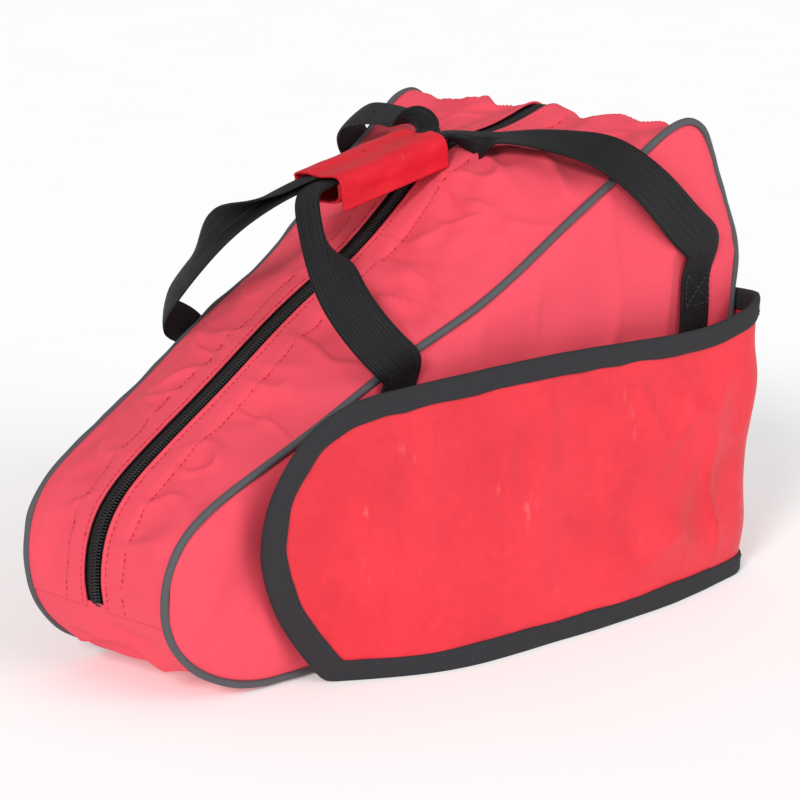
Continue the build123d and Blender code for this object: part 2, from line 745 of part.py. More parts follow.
# ---------------------------------------------------------------- wrap round the handles
wrap_low = -GRIP_HEIGHT / 2
front_height = GRIP_HEIGHT - WRAP_THICKNESS - CLEARANCE

with BuildPart(grip_frame) as wrap_base:
    with Locations((0, wrap_front, wrap_low)):
        Box(
            GRIP_LENGTH, GRIP_WIDTH / 2 - wrap_front, WRAP_THICKNESS,
            align=(Align.CENTER, Align.MIN, Align.MIN),
        )
        Box(
            GRIP_LENGTH, WRAP_THICKNESS, front_height,
            align=(Align.CENTER, Align.MIN, Align.MIN),
        )
    with Locations((0, GRIP_WIDTH / 2, wrap_low)):
        Box(
            GRIP_LENGTH, WRAP_THICKNESS, front_height,
            align=(Align.CENTER, Align.MAX, Align.MIN),
        )

with BuildPart(grip_frame) as wrap_flap:
    with Locations((0, GRIP_WIDTH / 2, GRIP_HEIGHT / 2)):
        Box(
            GRIP_LENGTH, GRIP_WIDTH + WRAP_THICKNESS, WRAP_THICKNESS,
            align=(Align.CENTER, Align.MAX, Align.MAX),
        )
    with Locations((0, -GRIP_WIDTH / 2, GRIP_HEIGHT / 2)):
        Box(
            GRIP_LENGTH, WRAP_THICKNESS, GRIP_HEIGHT + 2,
            align=(Align.CENTER, Align.MAX, Align.MAX),
        )

patch_length = GRIP_LENGTH - 2 * PATCH_MARGIN
patch_height = front_height - 2

with BuildPart(grip_frame) as loop_patch:
    with Locations((0, wrap_front, wrap_low + 1)):
        Box(
            patch_length, PATCH_THICKNESS, patch_height,
            align=(Align.CENTER, Align.MAX, Align.MIN),
        )

with BuildPart(grip_frame) as hook_patch:
    with Locations((0, -GRIP_WIDTH / 2, wrap_low + 1)):
        Box(
            patch_length, PATCH_THICKNESS, patch_height,
            align=(Align.CENTER, Align.MIN, Align.MIN),
        )


pieces = {
    "near_side_panel": near_side_panel,
    "far_side_panel": far_side_panel,
    "near_piping": near_piping,
    "far_piping": far_piping,
    "near_top_gusset": near_top_gusset,
    "far_top_gusset": far_top_gusset,
    "base_gusset": base_gusset,
    "back_gusset": back_gusset,
    "base_board": base_board,
    "near_zipper_tape": near_zipper_tape,
    "far_zipper_tape": far_zipper_tape,
    "near_zipper_coil": near_zipper_coil,
    "far_zipper_coil": far_zipper_coil,
    "zipper_slider": zipper_slider,
    "zipper_pull": zipper_pull,
    "near_pocket_wall": near_pocket_wall,
    "far_pocket_wall": far_pocket_wall,
    "back_pocket_wall": back_pocket_wall,
    "pocket_floor": pocket_floor,
    "near_pocket_edge_binding": near_pocket_edge_binding,
    "far_pocket_edge_binding": far_pocket_edge_binding,
    "back_pocket_edge_binding": back_pocket_edge_binding,
    "near_pocket_base_binding": near_pocket_base_binding,
    "far_pocket_base_binding": far_pocket_base_binding,
    "back_pocket_base_binding": back_pocket_base_binding,
    "near_strap_front_anchor": near_strap_front_anchor,
    "near_strap_rear_anchor": near_strap_rear_anchor,
    "far_strap_front_anchor": far_strap_front_anchor,
    "far_strap_rear_anchor": far_strap_rear_anchor,
    "near_strap_front_leg": near_strap_front_leg,
    "near_strap_rear_leg": near_strap_rear_leg,
    "far_strap_front_leg": far_strap_front_leg,
    "far_strap_rear_leg": far_strap_rear_leg,
    "near_strap_grip": near_strap_grip,
    "far_strap_grip": far_strap_grip,
    "wrap_base": wrap_base,
    "wrap_flap": wrap_flap,
    "loop_patch": loop_patch,
    "hook_patch": hook_patch,
}

os.makedirs("parts", exist_ok=True)
for name, piece in pieces.items():
    piece.part.label = name
    export_step(piece.part, f"parts/{name}.step")
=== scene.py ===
"""Boot-shaped skate bag: every sewn piece, its finishes and the stage, as a Blender add-on.

Row frame in metres: X from the toe to the heel, Z up, the near side is -Y.
"""
import math

import bpy
import numpy as np
from bpy.props import FloatProperty, PointerProperty
from mathutils import Matrix, Vector, noise


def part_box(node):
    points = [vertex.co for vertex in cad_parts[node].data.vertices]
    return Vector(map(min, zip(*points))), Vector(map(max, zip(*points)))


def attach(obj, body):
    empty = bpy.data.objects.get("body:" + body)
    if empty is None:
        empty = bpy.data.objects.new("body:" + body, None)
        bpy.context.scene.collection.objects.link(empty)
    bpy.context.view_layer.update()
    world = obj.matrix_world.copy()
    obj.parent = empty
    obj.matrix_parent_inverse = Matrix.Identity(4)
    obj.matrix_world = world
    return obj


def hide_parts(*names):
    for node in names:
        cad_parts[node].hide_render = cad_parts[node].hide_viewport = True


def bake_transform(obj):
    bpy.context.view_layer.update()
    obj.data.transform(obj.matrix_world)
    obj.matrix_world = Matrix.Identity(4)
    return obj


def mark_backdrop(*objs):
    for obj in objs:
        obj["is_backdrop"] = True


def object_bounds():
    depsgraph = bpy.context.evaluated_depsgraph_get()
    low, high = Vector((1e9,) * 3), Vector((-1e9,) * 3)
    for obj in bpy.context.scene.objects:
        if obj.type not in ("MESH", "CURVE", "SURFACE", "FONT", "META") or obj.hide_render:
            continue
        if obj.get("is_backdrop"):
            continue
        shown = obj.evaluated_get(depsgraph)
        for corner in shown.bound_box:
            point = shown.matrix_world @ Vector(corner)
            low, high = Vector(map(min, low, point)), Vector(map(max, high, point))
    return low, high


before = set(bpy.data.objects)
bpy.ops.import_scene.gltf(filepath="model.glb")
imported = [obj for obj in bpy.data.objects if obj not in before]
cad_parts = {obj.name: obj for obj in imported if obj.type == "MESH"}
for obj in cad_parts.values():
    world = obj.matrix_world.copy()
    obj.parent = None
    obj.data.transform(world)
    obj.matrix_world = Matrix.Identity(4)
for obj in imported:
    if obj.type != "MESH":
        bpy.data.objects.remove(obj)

bl_info = {
    "name": "Skate Bag",
    "version": (1, 0, 0),
    "blender": (4, 5, 0),
    "location": "3D View > Sidebar > Skate Bag",
    "description": "Builds a nylon skate bag with its zipper, sling pocket and wrapped handles",
    "category": "Object",
}

# Side outline as shares of the body's length and height, from the sole over the toe to the peak
TOE_CURVE = [(0.179, 0.0), (0.077, 0.040), (0.022, 0.110)]
TOE_SEAM = (0.004, 0.163)
TOP_CURVE = [
    (0.000, 0.238), (0.026, 0.333), (0.100, 0.408), (0.238, 0.502), (0.385, 0.609),
    (0.503, 0.682), (0.646, 0.811), (0.800, 0.950),
]
TOP_SLOPE = np.array((0.85, 0.53))
ZIP_TURN = (0.926, 0.931)
RUN_SLOPE = np.array((0.455, -0.890))
PEAK_REACH = (0.030, 0.026)
CROWN_PEAK, CROWN_FALL = 0.65, 0.21
# Pocket: gap from the body's side at three heights, by share of length
POCKET_STATIONS = [0.077, 0.238, 0.359, 0.513, 0.667, 0.821]
POCKET_GAPS = {
    "near": [(-0.018, 0.014, 0.040, 0.046, 0.046, 0.041, 0.025),
             (0.014, 0.025, 0.030, 0.033, 0.034, 0.032, 0.024),
             (0.018, 0.020, 0.017, 0.020, 0.022, 0.023, 0.023)],
    "far": [(0.000, 0.012, 0.026, 0.034, 0.037, 0.036, 0.025),
            (0.006, 0.010, 0.019, 0.027, 0.031, 0.031, 0.024),
            (0.006, 0.008, 0.013, 0.019, 0.022, 0.023, 0.023)],
}
# Front lobe and top edge of the pocket, as shares of length and pocket height
POCKET_EDGES = {
    "near": [(0.236, 0.0), (0.166, 0.22), (0.126, 0.40), (0.113, 0.53), (0.126, 0.69), (0.160, 0.81),
             (0.205, 0.875), (0.320, 0.905), (0.590, 0.920), (0.810, 0.905), (0.920, 0.918), (1.04, 1.0)],
    "far": [(0.236, 0.0), (0.166, 0.20), (0.128, 0.34), (0.116, 0.46), (0.126, 0.565), (0.158, 0.645),
            (0.205, 0.700), (0.320, 0.785), (0.450, 0.850), (0.590, 0.885), (0.810, 0.905),
            (0.920, 0.918), (1.04, 1.0)],
}
# Places each handle passes through between its anchors and the grip
NEAR_FRONT_BENDS = [(-0.068, -0.083, 0.165), (-0.076, -0.067, 0.184), (-0.075, -0.047, 0.206),
                    (-0.067, -0.027, 0.225)]
NEAR_REAR_BENDS = [(0.146, -0.1075, 0.203), (0.124, -0.109, 0.220), (0.103, -0.108, 0.237),
                   (0.087, -0.095, 0.252), (0.080, -0.069, 0.257), (0.073, -0.046, 0.258),
                   (0.066, -0.025, 0.257)]
FAR_FRONT_BENDS = [(-0.069, 0.083, 0.163), (-0.076, 0.070, 0.180), (-0.074, 0.051, 0.200),
                   (-0.066, 0.031, 0.220)]
FAR_REAR_BENDS = [(0.146, 0.1075, 0.203), (0.124, 0.110, 0.220), (0.102, 0.109, 0.238),
                  (0.086, 0.094, 0.254), (0.077, 0.064, 0.260), (0.072, 0.042, 0.260),
                  (0.066, 0.023, 0.258)]
FRONT_ANCHOR, REAR_ANCHOR = (-0.057, 0.146), (0.160, 0.182)
GRIP_CENTRE = (0.0035, 0.0, 0.245)
HANDLE_LANE, HANDLE_LIFT = 0.0066, 0.0036
HANDLE_STATIONS = 520
FOLD_REACH_TOE, FOLD_REACH_HEEL = 0.080, 0.036  # how far past the wrap the webbing stays folded
# How finely each cloth is divided
PANEL_ROWS, GUSSET_COLUMNS, STRIP_COLUMNS, BAND_ROWS, FLOOR_ROWS = 110, 60, 90, 76, 120
WRAP_ROWS, WRAP_COLUMNS = 90, 54
POCKET_MIDDLE = 0.110  # from a back corner of the pocket to the middle of its back
# One stitch: its stations along the thread, and how thick and how high it is at each
STITCH_STATIONS = (0, 0.15, 0.5, 0.85, 1)
STITCH_SWELL = (0.35, 0.9, 1, 0.9, 0.35)
STITCH_RISE = (-0.5, 0.2, 0.5, 0.2, -0.5)
STITCH_SIDES, STITCH_SHARE = 6, 0.74


# ---------------------------------------------------------------- settings
def length(name, description, default):
    return FloatProperty(name=name, description=description, default=default, unit="LENGTH")


class SkateBagBody(bpy.types.PropertyGroup):
    """Sizes of the bag's shell."""
    length: length("Length", "Toe to heel without the pocket", 0.390)
    height: length("Height", "Sole to the top of the heel", 0.262)
    half_width: length("Half width", "Half the width at the middle of the sole", 0.067)
    flare_back: FloatProperty(
        name="Flare back", description="Extra half width for each metre towards the heel", default=0.10)
    flare_up: FloatProperty(
        name="Flare up", description="Extra half width for each metre of height", default=0.083)
    crown: length("Crown", "Height of the gusset's middle above its edges", 0.028)
    bulge: length("Bulge", "How far the side panels belly out", 0.0045)
    fabric: length("Fabric", "Thickness of the backed nylon", 0.0012)
    piping: length("Piping radius", "Radius of the vinyl cord in the seams", 0.0021)
    crumple: FloatProperty(name="Crumple", description="Strength of the creases", default=1.0, min=0, max=3)


class SkateBagZipper(bpy.types.PropertyGroup):
    """Sizes of the coil zipper and the stitching beside it."""
    gap: length("Gap", "Half the gap between the gusset's folded edges", 0.0068)
    run: length("Run", "Straight stretch down the back", 0.050)
    tape: length("Tape", "Half width of the tape", 0.011)
    pitch: length("Pitch", "Distance between teeth on one side", 0.0017)
    stitch: length("Stitch", "Distance between stitches", 0.0034)
    inner_row: length("Inner row", "Stitch row nearest the zipper", 0.0095)
    outer_row: length("Outer row", "Stitch row that holds the facing", 0.0225)


class SkateBagPocket(bpy.types.PropertyGroup):
    """Sizes of the sling pocket."""
    height: length("Height", "Height at the back", 0.166)
    corner: length("Corner", "Reach of the rounded back corners", 0.022)
    binding: length("Binding", "Width of the tape round the edges", 0.0105)


class SkateBagHandles(bpy.types.PropertyGroup):
    """Sizes of the webbing handles and their wrap."""
    width: length("Width", "Width of the webbing", 0.025)
    thickness: length("Thickness", "Thickness of the webbing", 0.0016)
    anchor: length("Anchor", "Length sewn to the side", 0.048)
    wrap_length: length("Wrap length", "Length of the wrap along the handles", 0.082)
    tilt: FloatProperty(
        name="Tilt", description="Slope of the grip", default=math.radians(10), subtype="ANGLE")


class SkateBagStage(bpy.types.PropertyGroup):
    """Camera and light."""
    lens: FloatProperty(name="Lens", description="Focal length", default=121.88)
    light: FloatProperty(name="Light", description="Strength of the lights", default=1.0, min=0)


def settings(name):
    return getattr(bpy.context.scene, "skate_bag_" + name)


# ---------------------------------------------------------------- curves
def unit(vectors):
    vectors = np.asarray(vectors, float)
    return vectors / np.maximum(np.linalg.norm(vectors, axis=-1, keepdims=True), 1e-12)


def smooth_curve(points, start=None, end=None, count=400):
    """Smooth path through points; start and end are its unit directions there."""
    points = np.array(points, float)
    gaps = np.linalg.norm(np.diff(points, axis=0), axis=1)
    size = len(points)
    matrix, right = np.zeros((size, size)), np.zeros_like(points)
    slopes = np.diff(points, axis=0) / gaps[:, None]
    for i in range(1, size - 1):
        matrix[i, i - 1:i + 2] = gaps[i - 1], 2 * (gaps[i - 1] + gaps[i]), gaps[i]
        right[i] = 6 * (slopes[i] - slopes[i - 1])
    matrix[0, 0] = matrix[-1, -1] = 1
    if start is not None:
        matrix[0, :2] = 2 * gaps[0], gaps[0]
        right[0] = 6 * (slopes[0] - np.array(start))
    if end is not None:
        matrix[-1, -2:] = gaps[-1], 2 * gaps[-1]
        right[-1] = 6 * (np.array(end) - slopes[-1])
    bends = np.linalg.solve(matrix, right)
    knots = np.concatenate([[0], np.cumsum(gaps)])
    places = np.linspace(0, knots[-1], count)
    k = np.clip(np.searchsorted(knots, places, side="right") - 1, 0, size - 2)
    a = ((knots[k + 1] - places) / gaps[k])[:, None]
    b = 1 - a
    curve = (a ** 3 - a) * bends[k] + (b ** 3 - b) * bends[k + 1]
    return a * points[k] + b * points[k + 1] + curve * gaps[k][:, None] ** 2 / 6


def bezier(points, count=60):
    share = np.linspace(0, 1, count)[:, None]
    degree = len(points) - 1
    return sum(
        math.comb(degree, i) * share ** i * (1 - share) ** (degree - i) * np.array(point, float)
        for i, point in enumerate(points)
    )


def arc_lengths(path):
    return np.concatenate([[0], np.cumsum(np.linalg.norm(np.diff(path, axis=0), axis=1))])


def along(path, places):
    """Points of a path at these arc lengths."""
    lengths = arc_lengths(path)
    return np.stack([np.interp(places, lengths, path[:, i]) for i in range(path.shape[1])], -1)


def even(path, count):
    return along(path, np.linspace(0, arc_lengths(path)[-1], count))


def ripple(points, size, seed, octaves=2):
    """Smooth noise from -1 to 1 at each point; size is the spacing of its bumps along each axis."""
    flat = (np.asarray(points, float) / np.array(size)).reshape(-1, 3) + seed * 17.31
    values = np.zeros(len(flat))
    for octave in range(octaves):
        scaled = flat * 2.03 ** octave
        values += np.array([noise.noise(Vector(p)) for p in scaled]) * 0.5 ** octave
    return values.reshape(np.asarray(points).shape[:-1])


def creases(points, size, seed):
    """Sharp-topped folds, from 0 in the flats to 1 on a crease."""
    return np.clip(1 - np.abs(ripple(points, size, seed, 1)) * 3.2, 0, 1) ** 2


def half_width(x, z):
    body = settings("body")
    return body.half_width + body.flare_back * x + body.flare_up * z


class Outline:
    """The boot-shaped side outline as one path, with the arc lengths of its seams."""

    def __init__(self):
        body, zipper = settings("body"), settings("zipper")
        low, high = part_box("near_piping")
        self.toe = (low[0] + high[0]) / 2 - body.length / 2
        self.base = low[2] + 0.002
        stations = [self.point(*share) for share in (*TOE_CURVE, TOE_SEAM, *TOP_CURVE)]
        front = smooth_curve(stations, (-1, 0), unit(TOP_SLOPE), 700)
        run = np.array(self.point(*ZIP_TURN))
        peak = bezier([front[-1], front[-1] + PEAK_REACH[0] * TOP_SLOPE,
                       run - PEAK_REACH[1] * RUN_SLOPE, run], 90)
        end = run + RUN_SLOPE * zipper.run
        back, reach = self.toe + body.length, 0.024
        bend = np.array((back, end[1] + (back - end[0]) * RUN_SLOPE[1] / RUN_SLOPE[0]))
        bend_end = bend - (0, 0.011)
        heel = [(back, self.base + reach), (back, self.base), (back - reach, self.base)]
        parts = [front, peak, np.linspace(run, end, 40), bezier([end, bend, bend_end], 30),
                 np.linspace(bend_end, heel[0], 80), bezier(heel, 40),
                 np.linspace(heel[2], front[0], 150)]
        self.path = np.concatenate([parts[0]] + [part[1:] for part in parts[1:]])
        self.lengths = arc_lengths(self.path)
        marks = np.cumsum([arc_lengths(part)[-1] for part in parts])
        self.run_start, self.run_end, self.heel_top = marks[1], marks[2], marks[4]
        self.whole = self.lengths[-1]
        nearest = np.argmin(np.linalg.norm(self.path - self.point(*TOE_SEAM), axis=1))
        self.seam = self.lengths[nearest]
        tip, turn = int(np.argmin(self.path[:, 0])), int(np.searchsorted(self.lengths, marks[3]))
        self.upper = self.path[tip:turn + 1]
        heel_index = int(np.searchsorted(self.lengths, marks[4]))
        self.lower = np.concatenate([self.path[:tip + 1][::-1], self.path[heel_index:][::-1]])

    def point(self, length_share, height_share):
        body = settings("body")
        return self.toe + length_share * body.length, self.base + height_share * body.height

    def at(self, places):
        """Points and outward directions at these arc lengths, counted round the loop."""
        places = np.asarray(places, float)
        wrapped = np.mod(places, self.whole)
        point = np.stack([np.interp(wrapped, self.lengths, self.path[:, i]) for i in (0, 1)], -1)
        step = 0.003
        ends = [np.stack([np.interp(np.mod(places + side * step, self.whole), self.lengths,
                                    self.path[:, i]) for i in (0, 1)], -1) for side in (-1, 1)]
        ahead = unit(ends[1] - ends[0])
        return point, np.stack([-ahead[..., 1], ahead[..., 0]], -1)

    def crown(self, x):
        share = np.clip((x - self.toe) / settings("body").length, 0, 1)
        past = np.clip((share - CROWN_PEAK) / CROWN_FALL, 0, 1)
        rising = (share / CROWN_PEAK) ** 0.75
        return settings("body").crown * np.where(
            share < CROWN_PEAK, rising, np.cos(past * math.pi / 2) ** 2
        )

    def gusset_point(self, places, across, lift=0.0):
        """Points of the gusset at arc lengths and distances from the middle line."""
        point, outward = self.at(places)
        width = half_width(point[..., 0], point[..., 1])
        height = self.crown(point[..., 0]) * (1 - (across / width) ** 2) + lift
        return np.stack([point[..., 0] + outward[..., 0] * height, across + 0 * height,
                         point[..., 1] + outward[..., 1] * height], -1)


# ---------------------------------------------------------------- meshes
def build_mesh(name, points, faces, uvs=None, smooth=True):
    mesh = bpy.data.meshes.new(name)
    mesh.from_pydata([tuple(p) for p in np.asarray(points, float)], [], [tuple(f) for f in faces])
    if uvs is not None:
        layer = mesh.uv_layers.new(name="UVMap")
        corners = np.array([loop.vertex_index for loop in mesh.loops])
        layer.data.foreach_set("uv", np.asarray(uvs, np.float32)[corners].ravel())
    mesh.validate()
    mesh.polygons.foreach_set("use_smooth", [smooth] * len(mesh.polygons))
    piece = bpy.data.objects.new(name, mesh)
    bpy.context.collection.objects.link(piece)
    return piece


def grid_faces(rows, columns, close_rows=False, close_columns=False, start=0):
    faces = []
    for i in range(rows - (0 if close_rows else 1)):
        for j in range(columns - (0 if close_columns else 1)):
            a, b = i * columns + j, i * columns + (j + 1) % columns
            k = (i + 1) % rows * columns
            faces.append((start + a, start + b, start + k + (j + 1) % columns, start + k + j))
    return faces


def grid(name, points, uv=None, close_rows=False, close_columns=False, flip=False):
    """Mesh from a rows by columns field of points, with a UV map in metres."""
    rows, columns = points.shape[:2]
    if uv is None:
        u = arc_lengths(points[:, columns // 2])
        v = arc_lengths(points[rows // 2])
        uv = np.stack(np.meshgrid(u, v, indexing="ij"), -1)
    faces = grid_faces(rows, columns, close_rows, close_columns)
    if flip:
        faces = [face[::-1] for face in faces]
    return build_mesh(name, points.reshape(-1, 3), faces, uv.reshape(-1, 2))


def thicken(piece, thickness, offset=0.0):
    modifier = piece.modifiers.new("Thickness", "SOLIDIFY")
    modifier.thickness = thickness
    modifier.offset = offset
    return piece


def dress(piece, material, body, *nodes):
    """Give a piece its finish, its body and the CAD nodes it stands for."""
    piece.data.materials.clear()
    piece.data.materials.append(material)
    if body:
        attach(piece, body)
    if nodes:
        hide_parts(*nodes)
    return piece


def tube(name, path, radius, sides=10, closed=True):
    """Round cord along a path."""
    ahead = unit(np.roll(path, -1, 0) - np.roll(path, 1, 0)) if closed else unit(np.gradient(path, axis=0))
    side = unit(np.cross(ahead, (0.0, 1.0, 0.0)) + 1e-9)
    up = np.cross(side, ahead)
    angles = np.linspace(0, 2 * math.pi, sides, endpoint=False)
    ring = np.cos(angles)[None, :, None] * side[:, None] + np.sin(angles)[None, :, None] * up[:, None]
    return grid(name, path[:, None] + ring * radius, close_rows=closed, close_columns=True)


def stitches(name, paths, lifts, spacing, gauge=0.0003):
    """Rows of raised stitches; each path has a matching outward direction at every point."""
    points, faces = [], []
    angles = np.linspace(0, 2 * math.pi, STITCH_SIDES, endpoint=False)
    section = [(math.cos(a), math.sin(a)) for a in angles]
    for path, lift in zip(paths, lifts):
        total = arc_lengths(path)[-1]
        count = max(int(total / spacing), 1)
        starts = (np.arange(count) + 0.15) * total / count
        lengths = arc_lengths(path)
        up_at = lambda s: unit(np.array([np.interp(s, lengths, lift[:, i]) for i in range(3)]))
        for start in starts:
            run = total / count * STITCH_SHARE
            stations = [along(path, [start + run * share])[0] for share in STITCH_STATIONS]
            heading = unit(stations[-1] - stations[0])
            up = up_at(start + run / 2)
            side = unit(np.cross(heading, up))
            base = len(points)
            for station, swell, rise in zip(stations, STITCH_SWELL, STITCH_RISE):
                for c, s in section:
                    points.append(station + side * c * gauge * swell + up * gauge * (s * swell + rise))
            faces += grid_faces(len(stations), STITCH_SIDES, close_columns=True, start=base)
    return build_mesh(name, points, faces)


# ---------------------------------------------------------------- finishes
class Value:
    """A number in a shader, written with ordinary arithmetic."""

    def __init__(self, finish, socket):
        self.finish, self.socket = finish, socket

    def __add__(self, other):
        return self.finish.math("ADD", self, other)

    def __radd__(self, other):
        return self.finish.math("ADD", other, self)

    def __sub__(self, other):
        return self.finish.math("SUBTRACT", self, other)

    def __rsub__(self, other):
        return self.finish.math("SUBTRACT", other, self)

    def __mul__(self, other):
        return self.finish.math("MULTIPLY", self, other)

    def __rmul__(self, other):
        return self.finish.math("MULTIPLY", other, self)


class Finish:
    """A material built from one Principled shader and nodes that vary it over the surface."""

    def __init__(self, name, **constants):
        self.material = bpy.data.materials.new(name)
        self.material.use_nodes = True
        self.tree = self.material.node_tree
        self.shader = self.tree.nodes["Principled BSDF"]
        for key, value in constants.items():
            self.shader.inputs[key.replace("_", " ")].default_value = value

    def node(self, kind, chosen=None, **values):
        node = self.tree.nodes.new(kind)
        for key, value in (chosen or {}).items():
            setattr(node, key, value)
        for key, value in values.items():
            self.feed(node.inputs[key.replace("_", " ")], value)
        return node

    def feed(self, socket, value):
        if isinstance(value, Value):
            value = value.socket
        if isinstance(value, bpy.types.NodeSocket):
            self.tree.links.new(value, socket)
        else:
            socket.default_value = value

    def math(self, operation, *values):
        node = self.node("ShaderNodeMath", {"operation": operation})
        for socket, value in zip(node.inputs, values):
            self.feed(socket, value)
        return Value(self, node.outputs[0])

    def sine(self, value):
        return self.math("SINE", value)

    def between(self, value, low, high):
        """0 below low, 1 above high, smooth in between."""
        node = self.node("ShaderNodeMapRange", {"interpolation_type": "SMOOTHSTEP"},
                         Value=value, From_Min=low, From_Max=high)
        return Value(self, node.outputs[0])

    def place(self):
        return self.node("ShaderNodeTexCoord").outputs["Object"]

    def cloth(self):
        """Distances along and across the cloth, in metres."""
        split = self.node("ShaderNodeSeparateXYZ", Vector=self.node("ShaderNodeTexCoord").outputs["UV"])
        return Value(self, split.outputs[0]), Value(self, split.outputs[1])

    def noise(self, size, detail=2.0, stretch=(1, 1, 1), roughness=0.5):
        moved = self.node("ShaderNodeMapping", Vector=self.place(), Scale=tuple(s / size for s in stretch))
        node = self.node("ShaderNodeTexNoise", Vector=moved.outputs[0], Scale=1.0, Detail=detail,
                         Roughness=roughness)
        return Value(self, node.outputs["Fac"])

    def blend(self, factor, first, second):
        node = self.node("ShaderNodeMix", {"data_type": "RGBA"})
        self.feed(node.inputs[0], factor)
        for socket, colour in zip((node.inputs[6], node.inputs[7]), (first, second)):
            self.feed(socket, colour if isinstance(colour, bpy.types.NodeSocket) else (*colour, 1))
        return node.outputs[2]

    def colour(self, value):
        self.feed(self.shader.inputs["Base Color"], value)

    def rough(self, value):
        self.feed(self.shader.inputs["Roughness"], value)

    def relief(self, height, distance, strength=1.0):
        """Bump from a height of 0 to 1, this many metres deep; later calls add to earlier ones."""
        node = self.node("ShaderNodeBump", Height=height, Distance=distance, Strength=strength)
        normal = self.shader.inputs["Normal"]
        if normal.is_linked:
            self.feed(node.inputs["Normal"], normal.links[0].from_socket)
        self.feed(normal, node.outputs[0])


def nylon(name, base, dark, scuffed=0.0, shine=0.2):
    finish = Finish(name, Specular_IOR_Level=shine)
    u, v = finish.cloth()
    weave = finish.sine(u * 9000.0) * finish.sine(v * 9000.0) * 0.5 + 0.5
    broad, fine = finish.noise(0.045, 3.0), finish.noise(0.006, 4.0)
    tone = finish.between(broad * 0.7 + fine * 0.3, 0.30, 0.70)
    red = finish.blend(tone, dark, base)
    slubs = finish.between(finish.noise(0.002, 1.0, (1, 1, 14)), 0.60, 0.78)
    red = finish.blend(slubs * 0.10, red, tuple(c * 0.72 for c in base))
    marks = finish.noise(0.012, 3.0, (1, 1, 0.35), 0.65)
    patch = finish.between(finish.noise(0.055, 1.0), 0.52, 0.66)
    wear = finish.between(marks, 0.62, 0.74) * patch * scuffed
    finish.colour(finish.blend(wear, red, (0.88, 0.16, 0.17)))
    finish.rough(0.40 + 0.16 * broad + 0.10 * wear)
    finish.relief(finish.noise(0.016, 4.0, roughness=0.55), 0.0011, 0.55)
    finish.relief(finish.noise(0.0045, 2.0), 0.00025, 0.5)
    finish.relief(weave, 0.00008, 0.35)
    return finish.material


def webbing(name, pitch=0.0024):
    finish = Finish(name, Specular_IOR_Level=0.25)
    u, v = finish.cloth()
    turn = 2 * math.pi / pitch
    slant = finish.sine((u + v * 0.9) * turn) * finish.sine((u - v * 0.9) * turn)
    ribs = finish.sine(v * turn * 1.25) * 0.5 + 0.5
    weave = finish.between(slant * 0.6 + ribs * 0.5, -0.3, 0.8)
    dust = finish.between(finish.noise(0.010, 4.0), 0.45, 0.8)
    dark = finish.blend(weave, (0.004, 0.004, 0.005), (0.014, 0.014, 0.016))
    finish.colour(finish.blend(dust * 0.25, dark, (0.030, 0.030, 0.034)))
    finish.rough(0.62 + 0.2 * dust - 0.14 * weave)
    finish.relief(weave, 0.00045, 0.9)
    return finish.material


def ribbed_tape(name, pitch=0.0011):
    finish = Finish(name, Specular_IOR_Level=0.25)
    u, v = finish.cloth()
    ribs = finish.sine(u * (2 * math.pi / pitch)) * 0.5 + 0.5
    threads = finish.sine(v * (2 * math.pi / pitch * 0.7)) * 0.5 + 0.5
    dust = finish.between(finish.noise(0.012, 4.0), 0.45, 0.8)
    finish.colour(finish.blend(dust * 0.3 + ribs * 0.2, (0.009, 0.009, 0.011), (0.034, 0.034, 0.039)))
    finish.rough(0.62 + 0.15 * dust)
    finish.relief(ribs * 0.75 + threads * 0.25, 0.0003, 0.8)
    finish.relief(finish.noise(0.006, 3.0), 0.0008, 0.35)
    return finish.material


def vinyl(name):
    finish = Finish(name, Specular_IOR_Level=0.3)
    grain, wear = finish.noise(0.0016, 3.0), finish.noise(0.02, 3.0)
    worn = finish.between(wear, 0.35, 0.7)
    finish.colour(finish.blend(worn, (0.016, 0.016, 0.019), (0.036, 0.036, 0.041)))
    finish.rough(0.40 + 0.2 * wear)
    finish.relief(grain, 0.0001, 0.5)
    return finish.material


def plain(name, colour, roughness, grain=0.002, depth=0.0001, spread=0.25, **constants):
    """Moulded, cast or spun finish with a little grain and uneven tone."""
    finish = Finish(name, **constants)
    tone = finish.noise(grain * 6, 3.0)
    dark, light = (tuple(c * (1 + side * spread) for c in colour) for side in (-1, 1))
    finish.colour(finish.blend(tone, dark, light))
    finish.rough(roughness + 0.12 * (tone - 0.5))
    finish.relief(finish.noise(grain, 2.0), depth, 0.5)
    return finish.material


